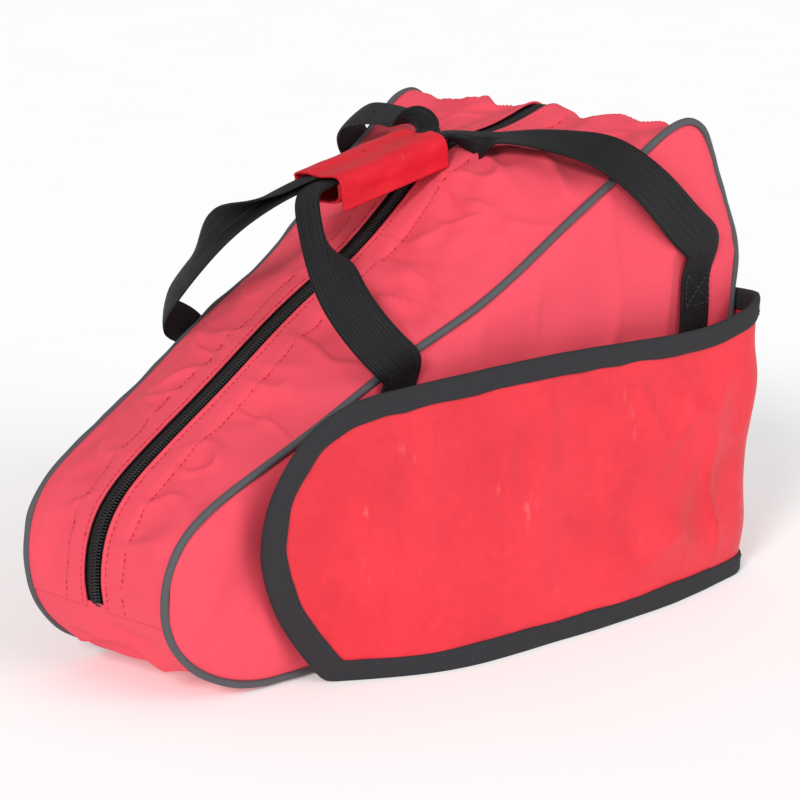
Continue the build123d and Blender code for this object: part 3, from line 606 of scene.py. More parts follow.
FINISHES = {
    "red_nylon": lambda: nylon("red_nylon", (0.76, 0.018, 0.032), (0.62, 0.011, 0.022), 0.25),
    # The pocket's own copy of the red nylon, with a pinker base and more shine, is painted light: it stands
    # in for how light falls on the pocket, which faces down and out while the body faces up.
    "pocket_nylon_painted_light": lambda: nylon("pocket_nylon_painted_light", (0.80, 0.030, 0.050), (0.68, 0.020, 0.036), 0.5, 0.35),
    "wrap_nylon": lambda: nylon("wrap_nylon", (0.74, 0.014, 0.030), (0.62, 0.010, 0.022), 0.35),
    "webbing": lambda: webbing("webbing"),
    "binding": lambda: ribbed_tape("binding"),
    "zipper_tape": lambda: ribbed_tape("zipper_tape", 0.0008),
    "vinyl_piping": lambda: vinyl("vinyl_piping"),
    "coil": lambda: plain("coil", (0.012, 0.012, 0.013), 0.36, 0.001),
    "lacquer": lambda: plain("lacquer", (0.020, 0.020, 0.022), 0.28, 0.001, 0.00003,
                             Metallic=0.5, Coat_Weight=0.4),
    "board": lambda: plain("board", (0.10, 0.10, 0.10), 0.6),
    "red_thread": lambda: plain("red_thread", (0.52, 0.012, 0.026), 0.6, 0.0006),
    "black_thread": lambda: plain("black_thread", (0.03, 0.03, 0.033), 0.55, 0.0006),
    "hook_and_loop": lambda: plain("hook_and_loop", (0.62, 0.02, 0.04), 0.85, 0.0007, 0.0008,
                                   Sheen_Weight=0.5),
    "floor": lambda: plain("floor", (0.93, 0.93, 0.93), 0.8, 0.02, 0.00002, 0.01,
                            Emission_Color=(1, 1, 1, 1), Emission_Strength=0.22),
}


def finish_named(name):
    return bpy.data.materials.get(name) or FINISHES[name]()


# ---------------------------------------------------------------- operators
def bag_outline():
    """The side outline at the current settings."""
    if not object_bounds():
        raise RuntimeError("the packed part is not loaded")
    return Outline()


class SKATEBAG_OT_side_panels(bpy.types.Operator):
    """Build the two side panels with their belly and creases"""
    bl_idname = "skate_bag.side_panels"
    bl_label = "Side Panels"

    def execute(self, context):
        outline = bag_outline()
        body = settings("body")
        share = np.linspace(0, 1, 230)
        x = outline.toe + 0.0022 + (body.length - 0.0044) * (1 - np.cos(share * math.pi)) / 2
        inset = 0.0022
        low = np.interp(x, outline.lower[:, 0], outline.lower[:, 1]) + inset
        high = np.interp(x, outline.upper[:, 0], outline.upper[:, 1]) - inset
        high = np.maximum(high, low + 0.0005)
        v = np.linspace(0, 1, PANEL_ROWS)[None, :]
        z = low[:, None] + (high - low)[:, None] * v
        x = np.repeat(x[:, None], PANEL_ROWS, 1)
        border = np.minimum(z - low[:, None], high[:, None] - z)
        ends = np.minimum(x - outline.toe, outline.toe + body.length - x)
        inner = 1 - np.exp(-np.minimum(border, ends) / 0.016)
        for side, name in ((-1, "near"), (1, "far")):
            flat = np.stack([x, side * half_width(x, z), z], -1)
            wave = ripple(flat, (0.060, 0.06, 0.085), 1 + side, 2) * 0.0040
            fold = creases(flat + 0.012 * ripple(flat, 0.05, 7 + side, 1)[..., None],
                           (0.034, 0.05, 0.10), 3 + side) * 0.0016
            pucker = np.exp(-border / 0.008) * ripple(flat, (0.010, 0.02, 0.010), 5 + side, 1) * 0.0012
            pucker *= np.minimum(1, border / 0.003)
            out = inner * (body.bulge + body.crumple * (wave + fold)) + pucker
            for place_x, top in (FRONT_ANCHOR, REAR_ANCHOR):
                beside = np.clip((np.abs(x - place_x) - 0.014) / 0.012, 0, 1)
                above = np.clip((np.abs(z - top + 0.024) - 0.026) / 0.014, 0, 1)
                under = 1 - np.minimum(1, np.hypot(beside, above))
                out = out * (1 - under) + 0.0008 * under
            flat[..., 1] += side * out
            piece = grid(name + "_side_panel_cloth", flat, np.stack([x, z], -1), flip=side > 0)
            thicken(piece, body.fabric)
            dress(piece, finish_named("red_nylon"), "bag", name + "_side_panel")
        return {"FINISHED"}


class SKATEBAG_OT_piping(bpy.types.Operator):
    """Build the vinyl cords in the seams"""
    bl_idname = "skate_bag.piping"
    bl_label = "Piping"

    def execute(self, context):
        outline = bag_outline()
        for side, name in ((-1, "near"), (1, "far")):
            places = np.linspace(0, outline.whole, 640, endpoint=False)
            point, outward = outline.at(places)
            width = half_width(point[:, 0], point[:, 1])
            path = np.stack([point[:, 0], side * width, point[:, 1]], -1)
            sway = ripple(path, 0.028, 11 + side, 2) * 0.0008
            path[:, 1] += side * sway
            path[:, 0] += outward[:, 0] * sway * 0.6
            path[:, 2] += outward[:, 1] * sway * 0.6
            path[:, 2] = np.maximum(path[:, 2], outline.base)
            cord = tube(name + "_piping_cord", path, settings("body").piping)
            dress(cord, finish_named("vinyl_piping"), "bag", name + "_piping")
        return {"FINISHED"}


class SKATEBAG_OT_gussets(bpy.types.Operator):
    """Build the top gussets beside the zipper and the gusset round the toe, sole and heel"""
    bl_idname = "skate_bag.gussets"
    bl_label = "Gussets"

    def execute(self, context):
        outline = bag_outline()
        body, zipper = settings("body"), settings("zipper")
        places = np.linspace(outline.seam, outline.run_end, 330)
        point, _ = outline.at(places)
        width = half_width(point[:, 0], point[:, 1])
        share = np.linspace(0, 1, GUSSET_COLUMNS)
        for side, name in ((-1, "near"), (1, "far")):
            across = zipper.gap + (width - 0.0018 - zipper.gap)[:, None] * share
            rows = np.repeat(places[:, None], GUSSET_COLUMNS, 1)
            base = outline.gusset_point(rows, side * across)
            flat = base.copy()
            margin = np.minimum(across - zipper.gap, (width[:, None] - across))
            loose = 1 - np.exp(-np.maximum(margin - 0.002, 0) / 0.010)
            wave = ripple(flat, (0.030, 0.030, 0.030), 21 + side, 2) * 0.0046
            cross = creases(flat + 0.010 * ripple(flat, 0.03, 23 + side, 1)[..., None],
                            (0.022, 0.060, 0.022), 25 + side) * 0.0034
            facing = np.clip((zipper.outer_row - across) / 0.004, 0, 1)
            sewn = (zipper.inner_row, zipper.outer_row)
            rows_sewn = sum(np.exp(-((across - row) / 0.0014) ** 2) for row in sewn)
            pucker = rows_sewn * (0.5 + ripple(flat, 0.006, 27 + side, 1)) * 0.0007
            fold = np.exp(-((across - zipper.gap) / 0.0016) ** 2) * 0.0006
            lift = body.crumple * loose * (wave + cross - 0.0016) * (1 - 0.55 * facing)
            lift += fold - pucker + facing * 0.0005
            lift -= 0.004 * loose * np.exp(-((flat[..., 0] - 0.135) / 0.030) ** 2)
            lift *= np.clip((rows - outline.seam) / 0.018, 0, 1)
            flat = outline.gusset_point(rows, side * across, lift)
            uv = np.stack([rows, across], -1)
            piece = grid(name + "_top_gusset_cloth", flat, uv, flip=side < 0)
            thicken(piece, body.fabric)
            dress(piece, finish_named("red_nylon"), "bag", name + "_top_gusset")
            size = (float(arc_lengths(base[:, 30])[-1]), float(width.max()))
            float(np.mean(width - zipper.gap) * size[0] * 1.04)
            paths, lifts = [], []
            for row in sewn:
                k = np.argmin(np.abs(across - row), axis=1)
                path = flat[np.arange(len(k)), k]
                path = np.stack([np.convolve(np.pad(path[:, i], 3, "edge"), np.ones(7) / 7, "valid")
                                 for i in range(3)], -1)
                path[:, 1] = side * row
                _, outward = outline.at(places)
                up = np.stack([outward[:, 0], 0 * outward[:, 0], outward[:, 1]], -1)
                paths.append(path + up * (body.fabric / 2))
                lifts.append(up)
            thread = stitches(name + "_gusset_topstitching", paths, lifts, zipper.stitch)
            dress(thread, finish_named("red_thread"), "bag")
        self.strip(outline, "base", outline.heel_top - outline.whole, outline.seam + 0.003, "base_gusset")
        self.strip(outline, "back", outline.run_end, outline.heel_top, "back_gusset")
        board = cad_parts["base_board"]
        board.data.materials.clear()
        board.data.materials.append(finish_named("board"))
        return {"FINISHED"}

    def strip(self, outline, name, start, end, node):
        body = settings("body")
        places = np.linspace(start, end, 260)
        point, outward = outline.at(places)
        width = half_width(point[:, 0], point[:, 1]) - 0.0018
        share = np.linspace(-1, 1, STRIP_COLUMNS)
        across = width[:, None] * share
        flat = np.stack([np.repeat(point[:, :1], STRIP_COLUMNS, 1), across,
                         np.repeat(point[:, 1:], STRIP_COLUMNS, 1)], -1)
        margin = (width[:, None] - np.abs(across))
        loose = 1 - np.exp(-margin / 0.010)
        sole = np.clip((outward[:, 1:] + 0.9) * 10, 0, 1)
        wave = ripple(flat, (0.030, 0.045, 0.018), 31, 2) * 0.0048
        cross = creases(flat, (0.040, 0.060, 0.016), 33) * 0.0034
        ends = np.minimum(places - start, end - places)[:, None]
        lift = loose * sole * (wave + cross) * np.clip(ends / 0.018, 0, 1)
        if name == "base":
            lift = lift + outline.crown(flat[..., 0]) * (1 - share ** 2) * (ends < 0.02)
        lift = lift - 0.0006 * (ends < 0.004)
        flat[..., 0] += outward[:, :1] * lift
        flat[..., 2] += outward[:, 1:] * lift
        flat[..., 2] = np.maximum(flat[..., 2], outline.base - 0.0006)
        uv = np.stack([np.repeat(places[:, None], STRIP_COLUMNS, 1), across], -1)
        piece = grid(name + "_gusset_cloth", flat, uv)
        thicken(piece, body.fabric)
        dress(piece, finish_named("red_nylon"), "bag", node)
        size = (float(end - start), float(2 * width.max()))
        float(np.mean(2 * width) * size[0])


class SKATEBAG_OT_zipper(bpy.types.Operator):
    """Build the zipper's tapes and interlocked coils, and finish its slider and pull"""
    bl_idname = "skate_bag.zipper"
    bl_label = "Zipper"

    def execute(self, context):
        outline = bag_outline()
        zipper = settings("zipper")
        places = np.linspace(outline.seam, outline.run_end, 420)
        middle = outline.gusset_point(places, 0.0 * places)
        total = arc_lengths(middle)[-1]
        _, outward = outline.at(places)
        up = np.stack([outward[:, 0], 0 * outward[:, 0], outward[:, 1]], -1)
        for side, name in ((-1, "near"), (1, "far")):
            across = np.linspace(0.0007, zipper.tape, 8)
            flat = middle[:, None] + up[:, None] * -0.00235 + across[None, :, None] * np.array((0, side, 0))
            lengths = np.linspace(0, total, len(places))
            uv = np.stack([np.repeat(lengths[:, None], 8, 1), np.repeat(across[None], len(places), 0)], -1)
            tape = grid(name + "_zipper_tape_cloth", flat, uv, flip=side < 0)
            thicken(tape, 0.0007)
            dress(tape, finish_named("zipper_tape"), "bag", name + "_zipper_tape")
            self.coil(name, side, middle, up, total)
        for node in ("zipper_slider", "zipper_pull"):
            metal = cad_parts[node]
            metal.data.materials.clear()
            metal.data.materials.append(finish_named("lacquer"))
            bevel = metal.modifiers.new("Edges", "BEVEL")
            bevel.width, bevel.segments = 0.0002, 2
        return {"FINISHED"}

    def coil(self, name, side, middle, up, total):
        """One side's teeth: short loops of coil whose heads reach past the middle line."""
        zipper = settings("zipper")
        lengths = arc_lengths(middle)
        centres = np.arange(0.002 + (side > 0) * zipper.pitch / 2, total - 0.001, zipper.pitch)
        # Reach from the middle line, and thickness as a share of the largest
        profile = [(0.0034, 0.25), (0.0030, 0.62), (0.0018, 0.66), (0.0004, 0.66),
                   (-0.0002, 0.72), (-0.0006, 0.40)]
        points, faces = [], []
        for centre in centres:
            place = along(middle, [centre])[0]
            ahead = unit(along(middle, [centre + 0.001])[0] - along(middle, [centre - 0.001])[0])
            lift = unit(np.array([np.interp(centre, lengths, up[:, i]) for i in range(3)]))
            base = len(points)
            for reach, radius in profile:
                for angle in np.linspace(0, 2 * math.pi, 8, endpoint=False):
                    points.append(place + np.array((0, side * reach, 0))
                                  + ahead * math.cos(angle) * radius * 0.00088
                                  + lift * (-0.0008 + math.sin(angle) * radius * 0.0019))
            faces += grid_faces(len(profile), 8, close_columns=True, start=base)
            faces += [tuple(range(base + 7, base - 1, -1)), tuple(range(len(points) - 8, len(points)))]
        coil = build_mesh(name + "_coil_teeth", points, faces)
        dress(coil, finish_named("coil"), "bag", name + "_zipper_coil")


class PocketShape:
    """One half of the sling pocket's wall, from its front lobe round to the middle of the back."""

    def __init__(self, outline, name):
        self.outline, self.pocket = outline, settings("pocket")
        self.name, self.side = name, 1 if name == "near" else -1
        self.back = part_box("back_pocket_wall")[1][0] - 0.0003
        body = settings("body")
        x = [outline.toe + share * body.length for share in POCKET_STATIONS] + [self.back]
        self.gaps = [smooth_curve(list(zip(x, gaps)), count=300) for gaps in POCKET_GAPS[name]]
        edge = smooth_curve([(outline.toe + a * body.length, 0.0007 + b * (self.pocket.height - 0.0007))
                             for a, b in POCKET_EDGES[name]], count=500)
        self.edge = edge[edge[:, 0] <= self.back]
        tip = int(np.argmin(self.edge[:, 0]))
        self.low, self.high = self.edge[:tip + 1][::-1], self.edge[tip:]

    def half(self, x, z):
        """Half width out to the middle of the wall."""
        share = np.clip(z / self.pocket.height, 0, 1.05)
        ground, middle, top = [np.interp(x, gap[:, 0], gap[:, 1]) for gap in self.gaps]
        gap = (ground * (1 - share) * (1 - 2 * share) + middle * 4 * share * (1 - share)
               + top * share * (2 * share - 1))
        return half_width(x, self.outline.base + share * self.pocket.height) + gap - 0.0006

    def point(self, s, z, outset=0.0):
        """Point at a distance s past the near back corner (negative along the side) and a height."""
        corner, centre = self.pocket.corner, POCKET_MIDDLE
        s, z = np.broadcast_arrays(np.asarray(s, float), np.asarray(z, float))
        back = self.back + outset
        wide = self.half(np.full_like(s, self.back), z) + outset
        x_side = np.minimum(self.back + s, self.back)
        y_side = self.half(x_side, z) + outset
        t = np.clip((s + corner) / (2 * corner), 0, 1)
        before = np.full_like(s, self.back - corner)
        start = np.stack([before, self.half(before, z) + outset], -1)
        turn = np.stack([back + 0 * s, wide], -1)
        finish = np.stack([back + 0 * s, wide - corner], -1)
        bend = (start * ((1 - t) ** 2)[..., None] + turn * (2 * t * (1 - t))[..., None]
                + finish * (t ** 2)[..., None])
        share = np.clip((s - corner) / (centre - corner), 0, 1)
        y_back = (wide - corner) * (1 - share)
        x = np.where(s < -corner, x_side, np.where(s < corner, bend[..., 0], back))
        y = np.where(s < -corner, y_side, np.where(s < corner, bend[..., 1], y_back))
        return np.stack([x, -y * self.side, z], -1)

    def sag(self, points, seed):
        """Soft creases, stronger behind and weaker where the lobe is stretched."""
        behind = np.clip((points[..., 0] + 0.10) / 0.25, 0.25, 1)
        wave = ripple(points, (0.055, 0.07, 0.10), seed, 2) * 0.0062
        swirled = points + 0.018 * ripple(points, 0.06, seed + 1, 1)[..., None]
        fold = creases(swirled, (0.045, 0.06, 0.12), seed + 2) * 0.0044
        return behind * (wave + fold)

    def height_at(self, s):
        x = np.minimum(self.back + s, self.back)
        return np.interp(x, self.high[:, 0], self.high[:, 1])


class SKATEBAG_OT_pocket(bpy.types.Operator):
    """Build the sling pocket: its band, its floor and the tape that binds its edges"""
    bl_idname = "skate_bag.pocket"
    bl_label = "Sling Pocket"

    def execute(self, context):
        outline = bag_outline()
        shapes = [PocketShape(outline, name) for name in ("near", "far")]
        halves, lengths, heights = [], [], []
        for shape, seed in zip(shapes, (41, 51)):
            first = shape.low[0, 0] - shape.back
            t = np.linspace(0, 1, 250)
            s = first + (POCKET_MIDDLE - first) * (1 - np.cos(t * math.pi / 2))
            x = np.minimum(shape.back + s, shape.back)
            high = shape.height_at(s)
            low = np.interp(x, shape.low[:, 0], shape.low[:, 1], right=0.0007)
            high = np.maximum(high, low + 0.0004)
            z = low[:, None] + (high - low)[:, None] * np.linspace(0, 1, BAND_ROWS)
            rows = np.repeat(s[:, None], BAND_ROWS, 1)
            border = np.minimum(z - low[:, None], high[:, None] - z)
            border = np.minimum(border, (rows - first) * 1.5)
            free = np.clip((border - 0.009) / 0.032, 0, 1)
            free = free * free * (3 - 2 * free)
            out = shape.sag(shape.point(rows, z), seed) * free * settings("body").crumple
            out *= np.clip((POCKET_MIDDLE - rows) / 0.02, 0, 1)
            halves.append(shape.point(rows, z, out))
            lengths.append(s)
            heights.append(z)
        whole = np.concatenate([halves[0], halves[1][::-1][1:]])
        lengths = np.concatenate([lengths[0], 2 * POCKET_MIDDLE - lengths[1][::-1][1:]])
        heights = np.concatenate([heights[0], heights[1][::-1][1:]])
        uv = np.stack([np.repeat(lengths[:, None], BAND_ROWS, 1), heights], -1)
        band = grid("pocket_band", whole, uv)
        thicken(band, 0.0012)
        # The band takes the pocket's pinker copy of the red nylon, which is painted light.
        dress(band, finish_named("pocket_nylon_painted_light"), "bag",
              "near_pocket_wall", "far_pocket_wall", "back_pocket_wall")
        cut = (float(lengths[-1] - lengths[0]), settings("pocket").height)
        for shape in shapes:
            self.binding(shape)
        self.floor(*shapes)
        return {"FINISHED"}

    def binding(self, shape):
        """Tape folded over the edge all the way round, with one row of stitching."""
        pocket = settings("pocket")
        flat_edge = np.stack([shape.edge[:, 0] - shape.back, shape.edge[:, 1]], -1)
        foot = np.linspace(POCKET_MIDDLE, flat_edge[0, 0], 200, endpoint=False)
        start = np.stack([foot, np.full(200, 0.0007)], -1)
        finish = np.stack([np.linspace(0, POCKET_MIDDLE, 60)[1:], np.full(59, flat_edge[-1, 1])], -1)
        path = even(np.concatenate([start, flat_edge, finish]), 620)
        for _ in range(8):
            path[1:-1] = (path[:-2] + 2 * path[1:-1] + path[2:]) / 4
        ahead = unit(np.gradient(path, axis=0))
        inward = np.stack([ahead[:, 1], -ahead[:, 0]], -1)
        width = pocket.binding
        section = [(width, 0.0007), (width, 0.0015), (width * 0.86, 0.0019), (width * 0.5, 0.0018),
                   (0.0012, 0.0019), (-0.0008, 0.0013), (-0.0012, 0), (-0.0008, -0.0013), (0.0012, -0.0019),
                   (width * 0.5, -0.0018), (width * 0.86, -0.0019), (width, -0.0015), (width, -0.0007)]
        girth = arc_lengths(np.array(section))
        lengths = arc_lengths(path)
        name = shape.name
        laid = np.stack([path[:, 0], path[:, 1], path[:, 0] * 0], -1)
        sway = ripple(laid, 0.030, 61 + shape.side, 2) * 0.0010
        rings = []
        for depth, out in section:
            at = path + inward * (depth + sway[:, None] * (depth > 0.002))
            at[:, 1] = np.maximum(at[:, 1], 0.0002)
            rings.append(shape.point(at[:, 0], at[:, 1], out + sway * 0.6))
        uv = np.stack([np.repeat(lengths[:, None], len(section), 1),
                       np.repeat(girth[None], len(path), 0)], -1)
        tape = grid(name + "_pocket_binding", np.stack(rings, 1), uv, close_columns=True,
                    flip=shape.side < 0)
        nodes = [name + "_pocket_edge_binding", name + "_pocket_base_binding"]
        if name == "near":
            nodes += ["back_pocket_edge_binding", "back_pocket_base_binding"]
        dress(tape, finish_named("binding"), "bag", *nodes)
        row = path + inward * width * 0.80
        row[:, 1] = np.maximum(row[:, 1], 0.0004)
        outer = shape.point(row[:, 0], row[:, 1], 0.0019 + sway * 0.6)
        further = shape.point(row[:, 0], row[:, 1], 0.0050)
        thread = stitches(name + "_binding_stitching", [outer], [unit(further - outer)], 0.0036, 0.00025)
        dress(thread, finish_named("black_thread"), "bag")

    def floor(self, near, far):
        """The pocket's floor under the whole bag, cut to the foot of the band."""
        low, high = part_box("pocket_floor")
        corner = near.pocket.corner
        x = np.linspace(low[0], near.back - 0.0014, FLOOR_ROWS)
        turned = 1 - np.sqrt(np.clip((near.back - x) / corner, 0, 1))
        halves = [shape.half(x, 0 * x) - corner * turned ** 2 - 0.0016 for shape in (near, far)]
        wide = halves[0] + halves[1]
        share = np.linspace(0, 1, 41)
        across = wide[:, None] * share - halves[0][:, None]
        flat = np.stack([np.repeat(x[:, None], 41, 1), across, np.full((FLOOR_ROWS, 41), 0.0006)], -1)
        flat[..., 2] += 0.0002 * ripple(flat, 0.03, 71)
        flat[..., 2] = np.clip(flat[..., 2], 0.0006, 0.0012)
        piece = grid("pocket_floor_cloth", flat)
        thicken(piece, 0.0011)
        dress(piece, finish_named("red_nylon"), "bag", "pocket_floor")


def grip_frame():
    """Matrix of the grip: X along the wrap towards the heel, Z up out of it."""
    tilt = settings("handles").tilt
    return Matrix.Translation(GRIP_CENTRE) @ Matrix.Rotation(-tilt, 4, "Y")


def in_grip(points):
    matrix = np.array(grip_frame())
    return np.asarray(points, float) @ matrix[:3, :3].T + matrix[:3, 3]


class SKATEBAG_OT_handles(bpy.types.Operator):
    """Build the two webbing handles, sewn to the sides and folded through the wrap"""
    bl_idname = "skate_bag.handles"
    bl_label = "Handles"

    def execute(self, context):
        for side, name, front, rear in ((-1, "near", NEAR_FRONT_BENDS, NEAR_REAR_BENDS),
                                        (1, "far", FAR_FRONT_BENDS, FAR_REAR_BENDS)):
            self.handle(side, name, front, rear)
        return {"FINISHED"}

    def foot(self, place, side):
        """Points up the sewn end of a handle, and its width direction."""
        handles = settings("handles")
        x, top = place
        heights = np.array([top - handles.anchor, top - 0.024, top, top + 0.008])
        out = np.array([0.0026, 0.0028, 0.0030, 0.0052])
        return [(x, side * (half_width(x, z) + o), z) for z, o in zip(heights, out)]

    def handle(self, side, name, front, rear):
        handles = settings("handles")
        lane = side * HANDLE_LANE - 0.0010
        inside = in_grip([(x, lane, HANDLE_LIFT) for x in (-0.052, -0.030, 0.0, 0.030, 0.052)])
        points = [*self.foot(FRONT_ANCHOR, side), *front, *inside, *rear[::-1],
                  *self.foot(REAR_ANCHOR, side)[::-1]]
        path = even(smooth_curve(points, count=1600), HANDLE_STATIONS)
        ahead = unit(np.gradient(path, axis=0))
        lengths = arc_lengths(path)
        first = np.argmin(np.linalg.norm(path - inside[0], axis=1))
        last = np.argmin(np.linalg.norm(path - inside[-1], axis=1))
        width = np.zeros_like(path)
        # The width direction is carried along the webbing, and its leftover twist is spread evenly
        for start, stop in ((0, first), (len(path) - 1, last)):
            step = 1 if stop > start else -1
            current = np.array((1.0, 0.0, 0.0))
            run = list(range(start, stop + step, step))
            for i in run:
                current = unit(current - ahead[i] * (current @ ahead[i]))
                width[i] = current
            level = np.array((0.0, 1.0, 0.0)) if current[1] > 0 else np.array((0.0, -1.0, 0.0))
            heading = ahead[stop]
            twist = math.atan2(np.cross(current, level) @ heading, current @ level)
            for i in run:
                free = np.clip((abs(i - start) - 60) / max(abs(stop - start) - 60, 1), 0, 1)
                angle = twist * free * free * (3 - 2 * free)
                width[i] = width[i] * math.cos(angle) + np.cross(ahead[i], width[i]) * math.sin(angle)
        if width[first] @ width[last] < 0:
            width[last:] *= -1
        inner = np.arange(first, last + 1)
        width[inner] = width[first]
        width = unit(width - ahead * np.sum(width * ahead, 1, keepdims=True))
        normal = np.cross(ahead, width)
        distance = np.maximum(0, np.maximum(lengths[first] - lengths, lengths - lengths[last]))
        towards_toe = lengths < lengths[first]
        fold = np.clip(1 - distance / np.where(towards_toe, FOLD_REACH_TOE, FOLD_REACH_HEEL), 0, 1)
        fold = fold * fold * (3 - 2 * fold)
        q = np.linspace(-handles.width / 2, handles.width / 2, 15)
        angle = fold[:, None] * math.radians(172)
        folded = q[None] > 0
        y = np.where(folded, -q * np.cos(angle) * -1, q) + handles.width / 4 * fold[:, None]
        h = np.where(folded, q * np.sin(angle) + 0.0019 * fold[:, None], 0 * q)
        bow = 0.0010 * np.sin((q / handles.width + 0.5) * math.pi) * (1 - fold[:, None])
        h = h + bow - 0.0009 * fold[:, None]
        slope = np.stack([np.gradient(y, axis=1), np.gradient(h, axis=1)], -1)
        slope = unit(slope)
        thin = handles.thickness / 2 * np.clip(1.25 - np.abs(q / handles.width * 2) ** 6, 0.55, 1)
        outer = np.stack([y - slope[..., 1] * thin, h + slope[..., 0] * thin], -1)
        inner_side = np.stack([y + slope[..., 1] * thin, h - slope[..., 0] * thin], -1)
        loop = np.concatenate([outer, inner_side[:, ::-1]], 1)
        flat = path[:, None] + loop[..., :1] * width[:, None] + loop[..., 1:] * normal[:, None]
        q_loop = np.concatenate([q, q[::-1]])
        uv = np.stack([np.repeat(lengths[:, None], 30, 1), np.repeat(q_loop[None], len(path), 0)], -1)
        strap = grid(name + "_handle", flat, uv, close_columns=True)
        self.cap(strap, len(path), 30)
        nodes = [f"{name}_strap_{part}" for part in
                 ("front_anchor", "front_leg", "grip", "rear_leg", "rear_anchor")]
        dress(strap, finish_named("webbing"), None, *nodes)
        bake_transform(strap)
        self.box_stitch(name, side, path, width, normal, lengths)

    def cap(self, strap, rows, columns):
        """Close the two cut ends."""
        mesh = strap.data
        points = [tuple(vertex.co) for vertex in mesh.vertices]
        faces = [tuple(face.vertices) for face in mesh.polygons]
        uvs = np.zeros((len(points), 2))
        for loop, uv in zip(mesh.loops, mesh.uv_layers[0].data):
            uvs[loop.vertex_index] = uv.uv
        faces += [tuple(range(columns))[::-1], tuple(range((rows - 1) * columns, rows * columns))]
        closed = build_mesh(strap.name + "_closed", points, faces, uvs)
        old = strap.data
        strap.data = closed.data
        bpy.data.objects.remove(closed)
        bpy.data.meshes.remove(old)

    def box_stitch(self, name, side, path, width, normal, lengths):
        """Square of stitching with a cross, near the top of each sewn end."""
        for part, start, sign in (("front", 0.026, 1), ("rear", lengths[-1] - 0.026, -1)):
            corners = [(0, -0.010), (0, 0.010), (0.018, 0.010), (0.018, -0.010), (0, -0.010),
                       (0.018, 0.010), (0.018, -0.010), (0, 0.010)]
            rows, ups = [], []
            for (a, b), (c, d) in zip(corners, corners[1:]):
                share = np.linspace(0, 1, 12)
                place = start + sign * (a + (c - a) * share)
                across = b + (d - b) * share
                middle = along(path, place)
                wide = np.stack([np.interp(place, lengths, width[:, i]) for i in range(3)], -1)
                up = np.stack([np.interp(place, lengths, normal[:, i]) for i in range(3)], -1)
                up = up * np.sign(up[:, 1:2] * side)
                rows.append(middle + wide * across[:, None] + up * 0.0018)
                ups.append(up)
            thread = stitches(f"{name}_{part}_anchor_stitching", rows, ups, 0.0030, 0.00028)
            dress(thread, finish_named("black_thread"), "bag")


class SKATEBAG_OT_wrap(bpy.types.Operator):
    """Build the wrap that gathers the handles: its base, its flap and the two patches"""
    bl_idname = "skate_bag.wrap"
    bl_label = "Handle Wrap"

    def execute(self, context):
        reach = settings("handles").wrap_length / 2
        base = [(0.0165, 0.0064), (0.0168, 0.000), (0.0155, -0.0052), (0.010, -0.0066), (0.0, -0.0066),
                (-0.0085, -0.0066), (-0.0135, -0.0052), (-0.0148, 0.0), (-0.0146, 0.0038)]
        flap = [(0.0168, 0.0058), (0.0150, 0.0074), (0.0080, 0.0082), (0.0010, 0.0070), (-0.0060, 0.0080),
                (-0.0130, 0.0080), (-0.0168, 0.0060), (-0.0178, 0.0010), (-0.0172, -0.0050),
                (-0.0178, -0.0100)]
        self.cloth("wrap_base_cloth", base, reach - 0.001, "grip", "wrap_base", 81, 0.0006)
        self.cloth("wrap_flap_cloth", flap, reach, "flap", "wrap_flap", 83, 0.0010)
        for name, y, body, node in (("loop_pile", -0.0152, "grip", "loop_patch"),
                                    ("hook_pile", -0.0163, "flap", "hook_patch")):
            x = np.linspace(-reach + 0.004, reach - 0.004, 60)
            z = np.linspace(-0.0060, 0.0036, 14)
            fx, fz = np.meshgrid(x, z, indexing="ij")
            flat = np.stack([fx, np.full_like(fx, y), fz], -1)
            flat[..., 1] += 0.0002 * ripple(flat, 0.002, 87)
            patch = grid(name, in_grip(flat))
            thicken(patch, 0.0007)
            dress(patch, finish_named("hook_and_loop"), body, node)
        return {"FINISHED"}

    def cloth(self, name, section, reach, body, node, seed, crumple):
        profile = even(smooth_curve(section, count=300), WRAP_COLUMNS)
        x = np.linspace(-reach, reach, WRAP_ROWS)
        flat = np.stack([np.repeat(x[:, None], WRAP_COLUMNS, 1),
                         np.repeat(profile[None, :, 0], WRAP_ROWS, 0),
                         np.repeat(profile[None, :, 1], WRAP_ROWS, 0)], -1)
        ahead = unit(np.gradient(profile, axis=0))
        out = np.stack([ahead[:, 1], -ahead[:, 0]], -1)
        if body == "flap":
            out = -out
        edge = np.minimum(np.arange(WRAP_COLUMNS), np.arange(WRAP_COLUMNS)[::-1]) / 8
        ripples = crumple * ripple(flat, (0.022, 0.010, 0.010), seed) * np.clip(edge, 0.15, 1)
        flat[..., 1] += ripples * out[:, 0]
        flat[..., 2] += ripples * out[:, 1]
        flat[..., 0] += 0.0010 * ripple(flat * (0, 1, 1), 0.010, seed + 1) * np.sign(flat[..., 0])
        uv = np.stack([flat[..., 0], np.repeat(arc_lengths(profile)[None], WRAP_ROWS, 0)], -1)
        piece = grid(name, in_grip(flat), uv, flip=body == "grip")
        thicken(piece, 0.0012)
        dress(piece, finish_named("wrap_nylon"), body, node)
        rows, ups = [], []
        turn = np.array(grip_frame())[:3, :3]
        for k in (3, WRAP_ROWS - 4):
            path = flat[k] + np.stack([0 * out[:, 0], out[:, 0], out[:, 1]], -1) * 0.0006
            rows.append(in_grip(path[2:-2]))
            ups.append(np.stack([0 * out[:, 0], out[:, 0], out[:, 1]], -1)[2:-2] @ turn.T)
        row = flat[:, 50] + np.array((0, out[50, 0], out[50, 1])) * 0.0006
        rows.append(in_grip(row[3:-3]))
        ups.append(np.repeat(np.array([(0, out[50, 0], out[50, 1])]) @ turn.T, WRAP_ROWS - 6, 0))
        thread = stitches(name.replace("_cloth", "_stitching"), rows, ups, 0.0030, 0.00022)
        dress(thread, finish_named("red_thread"), body)


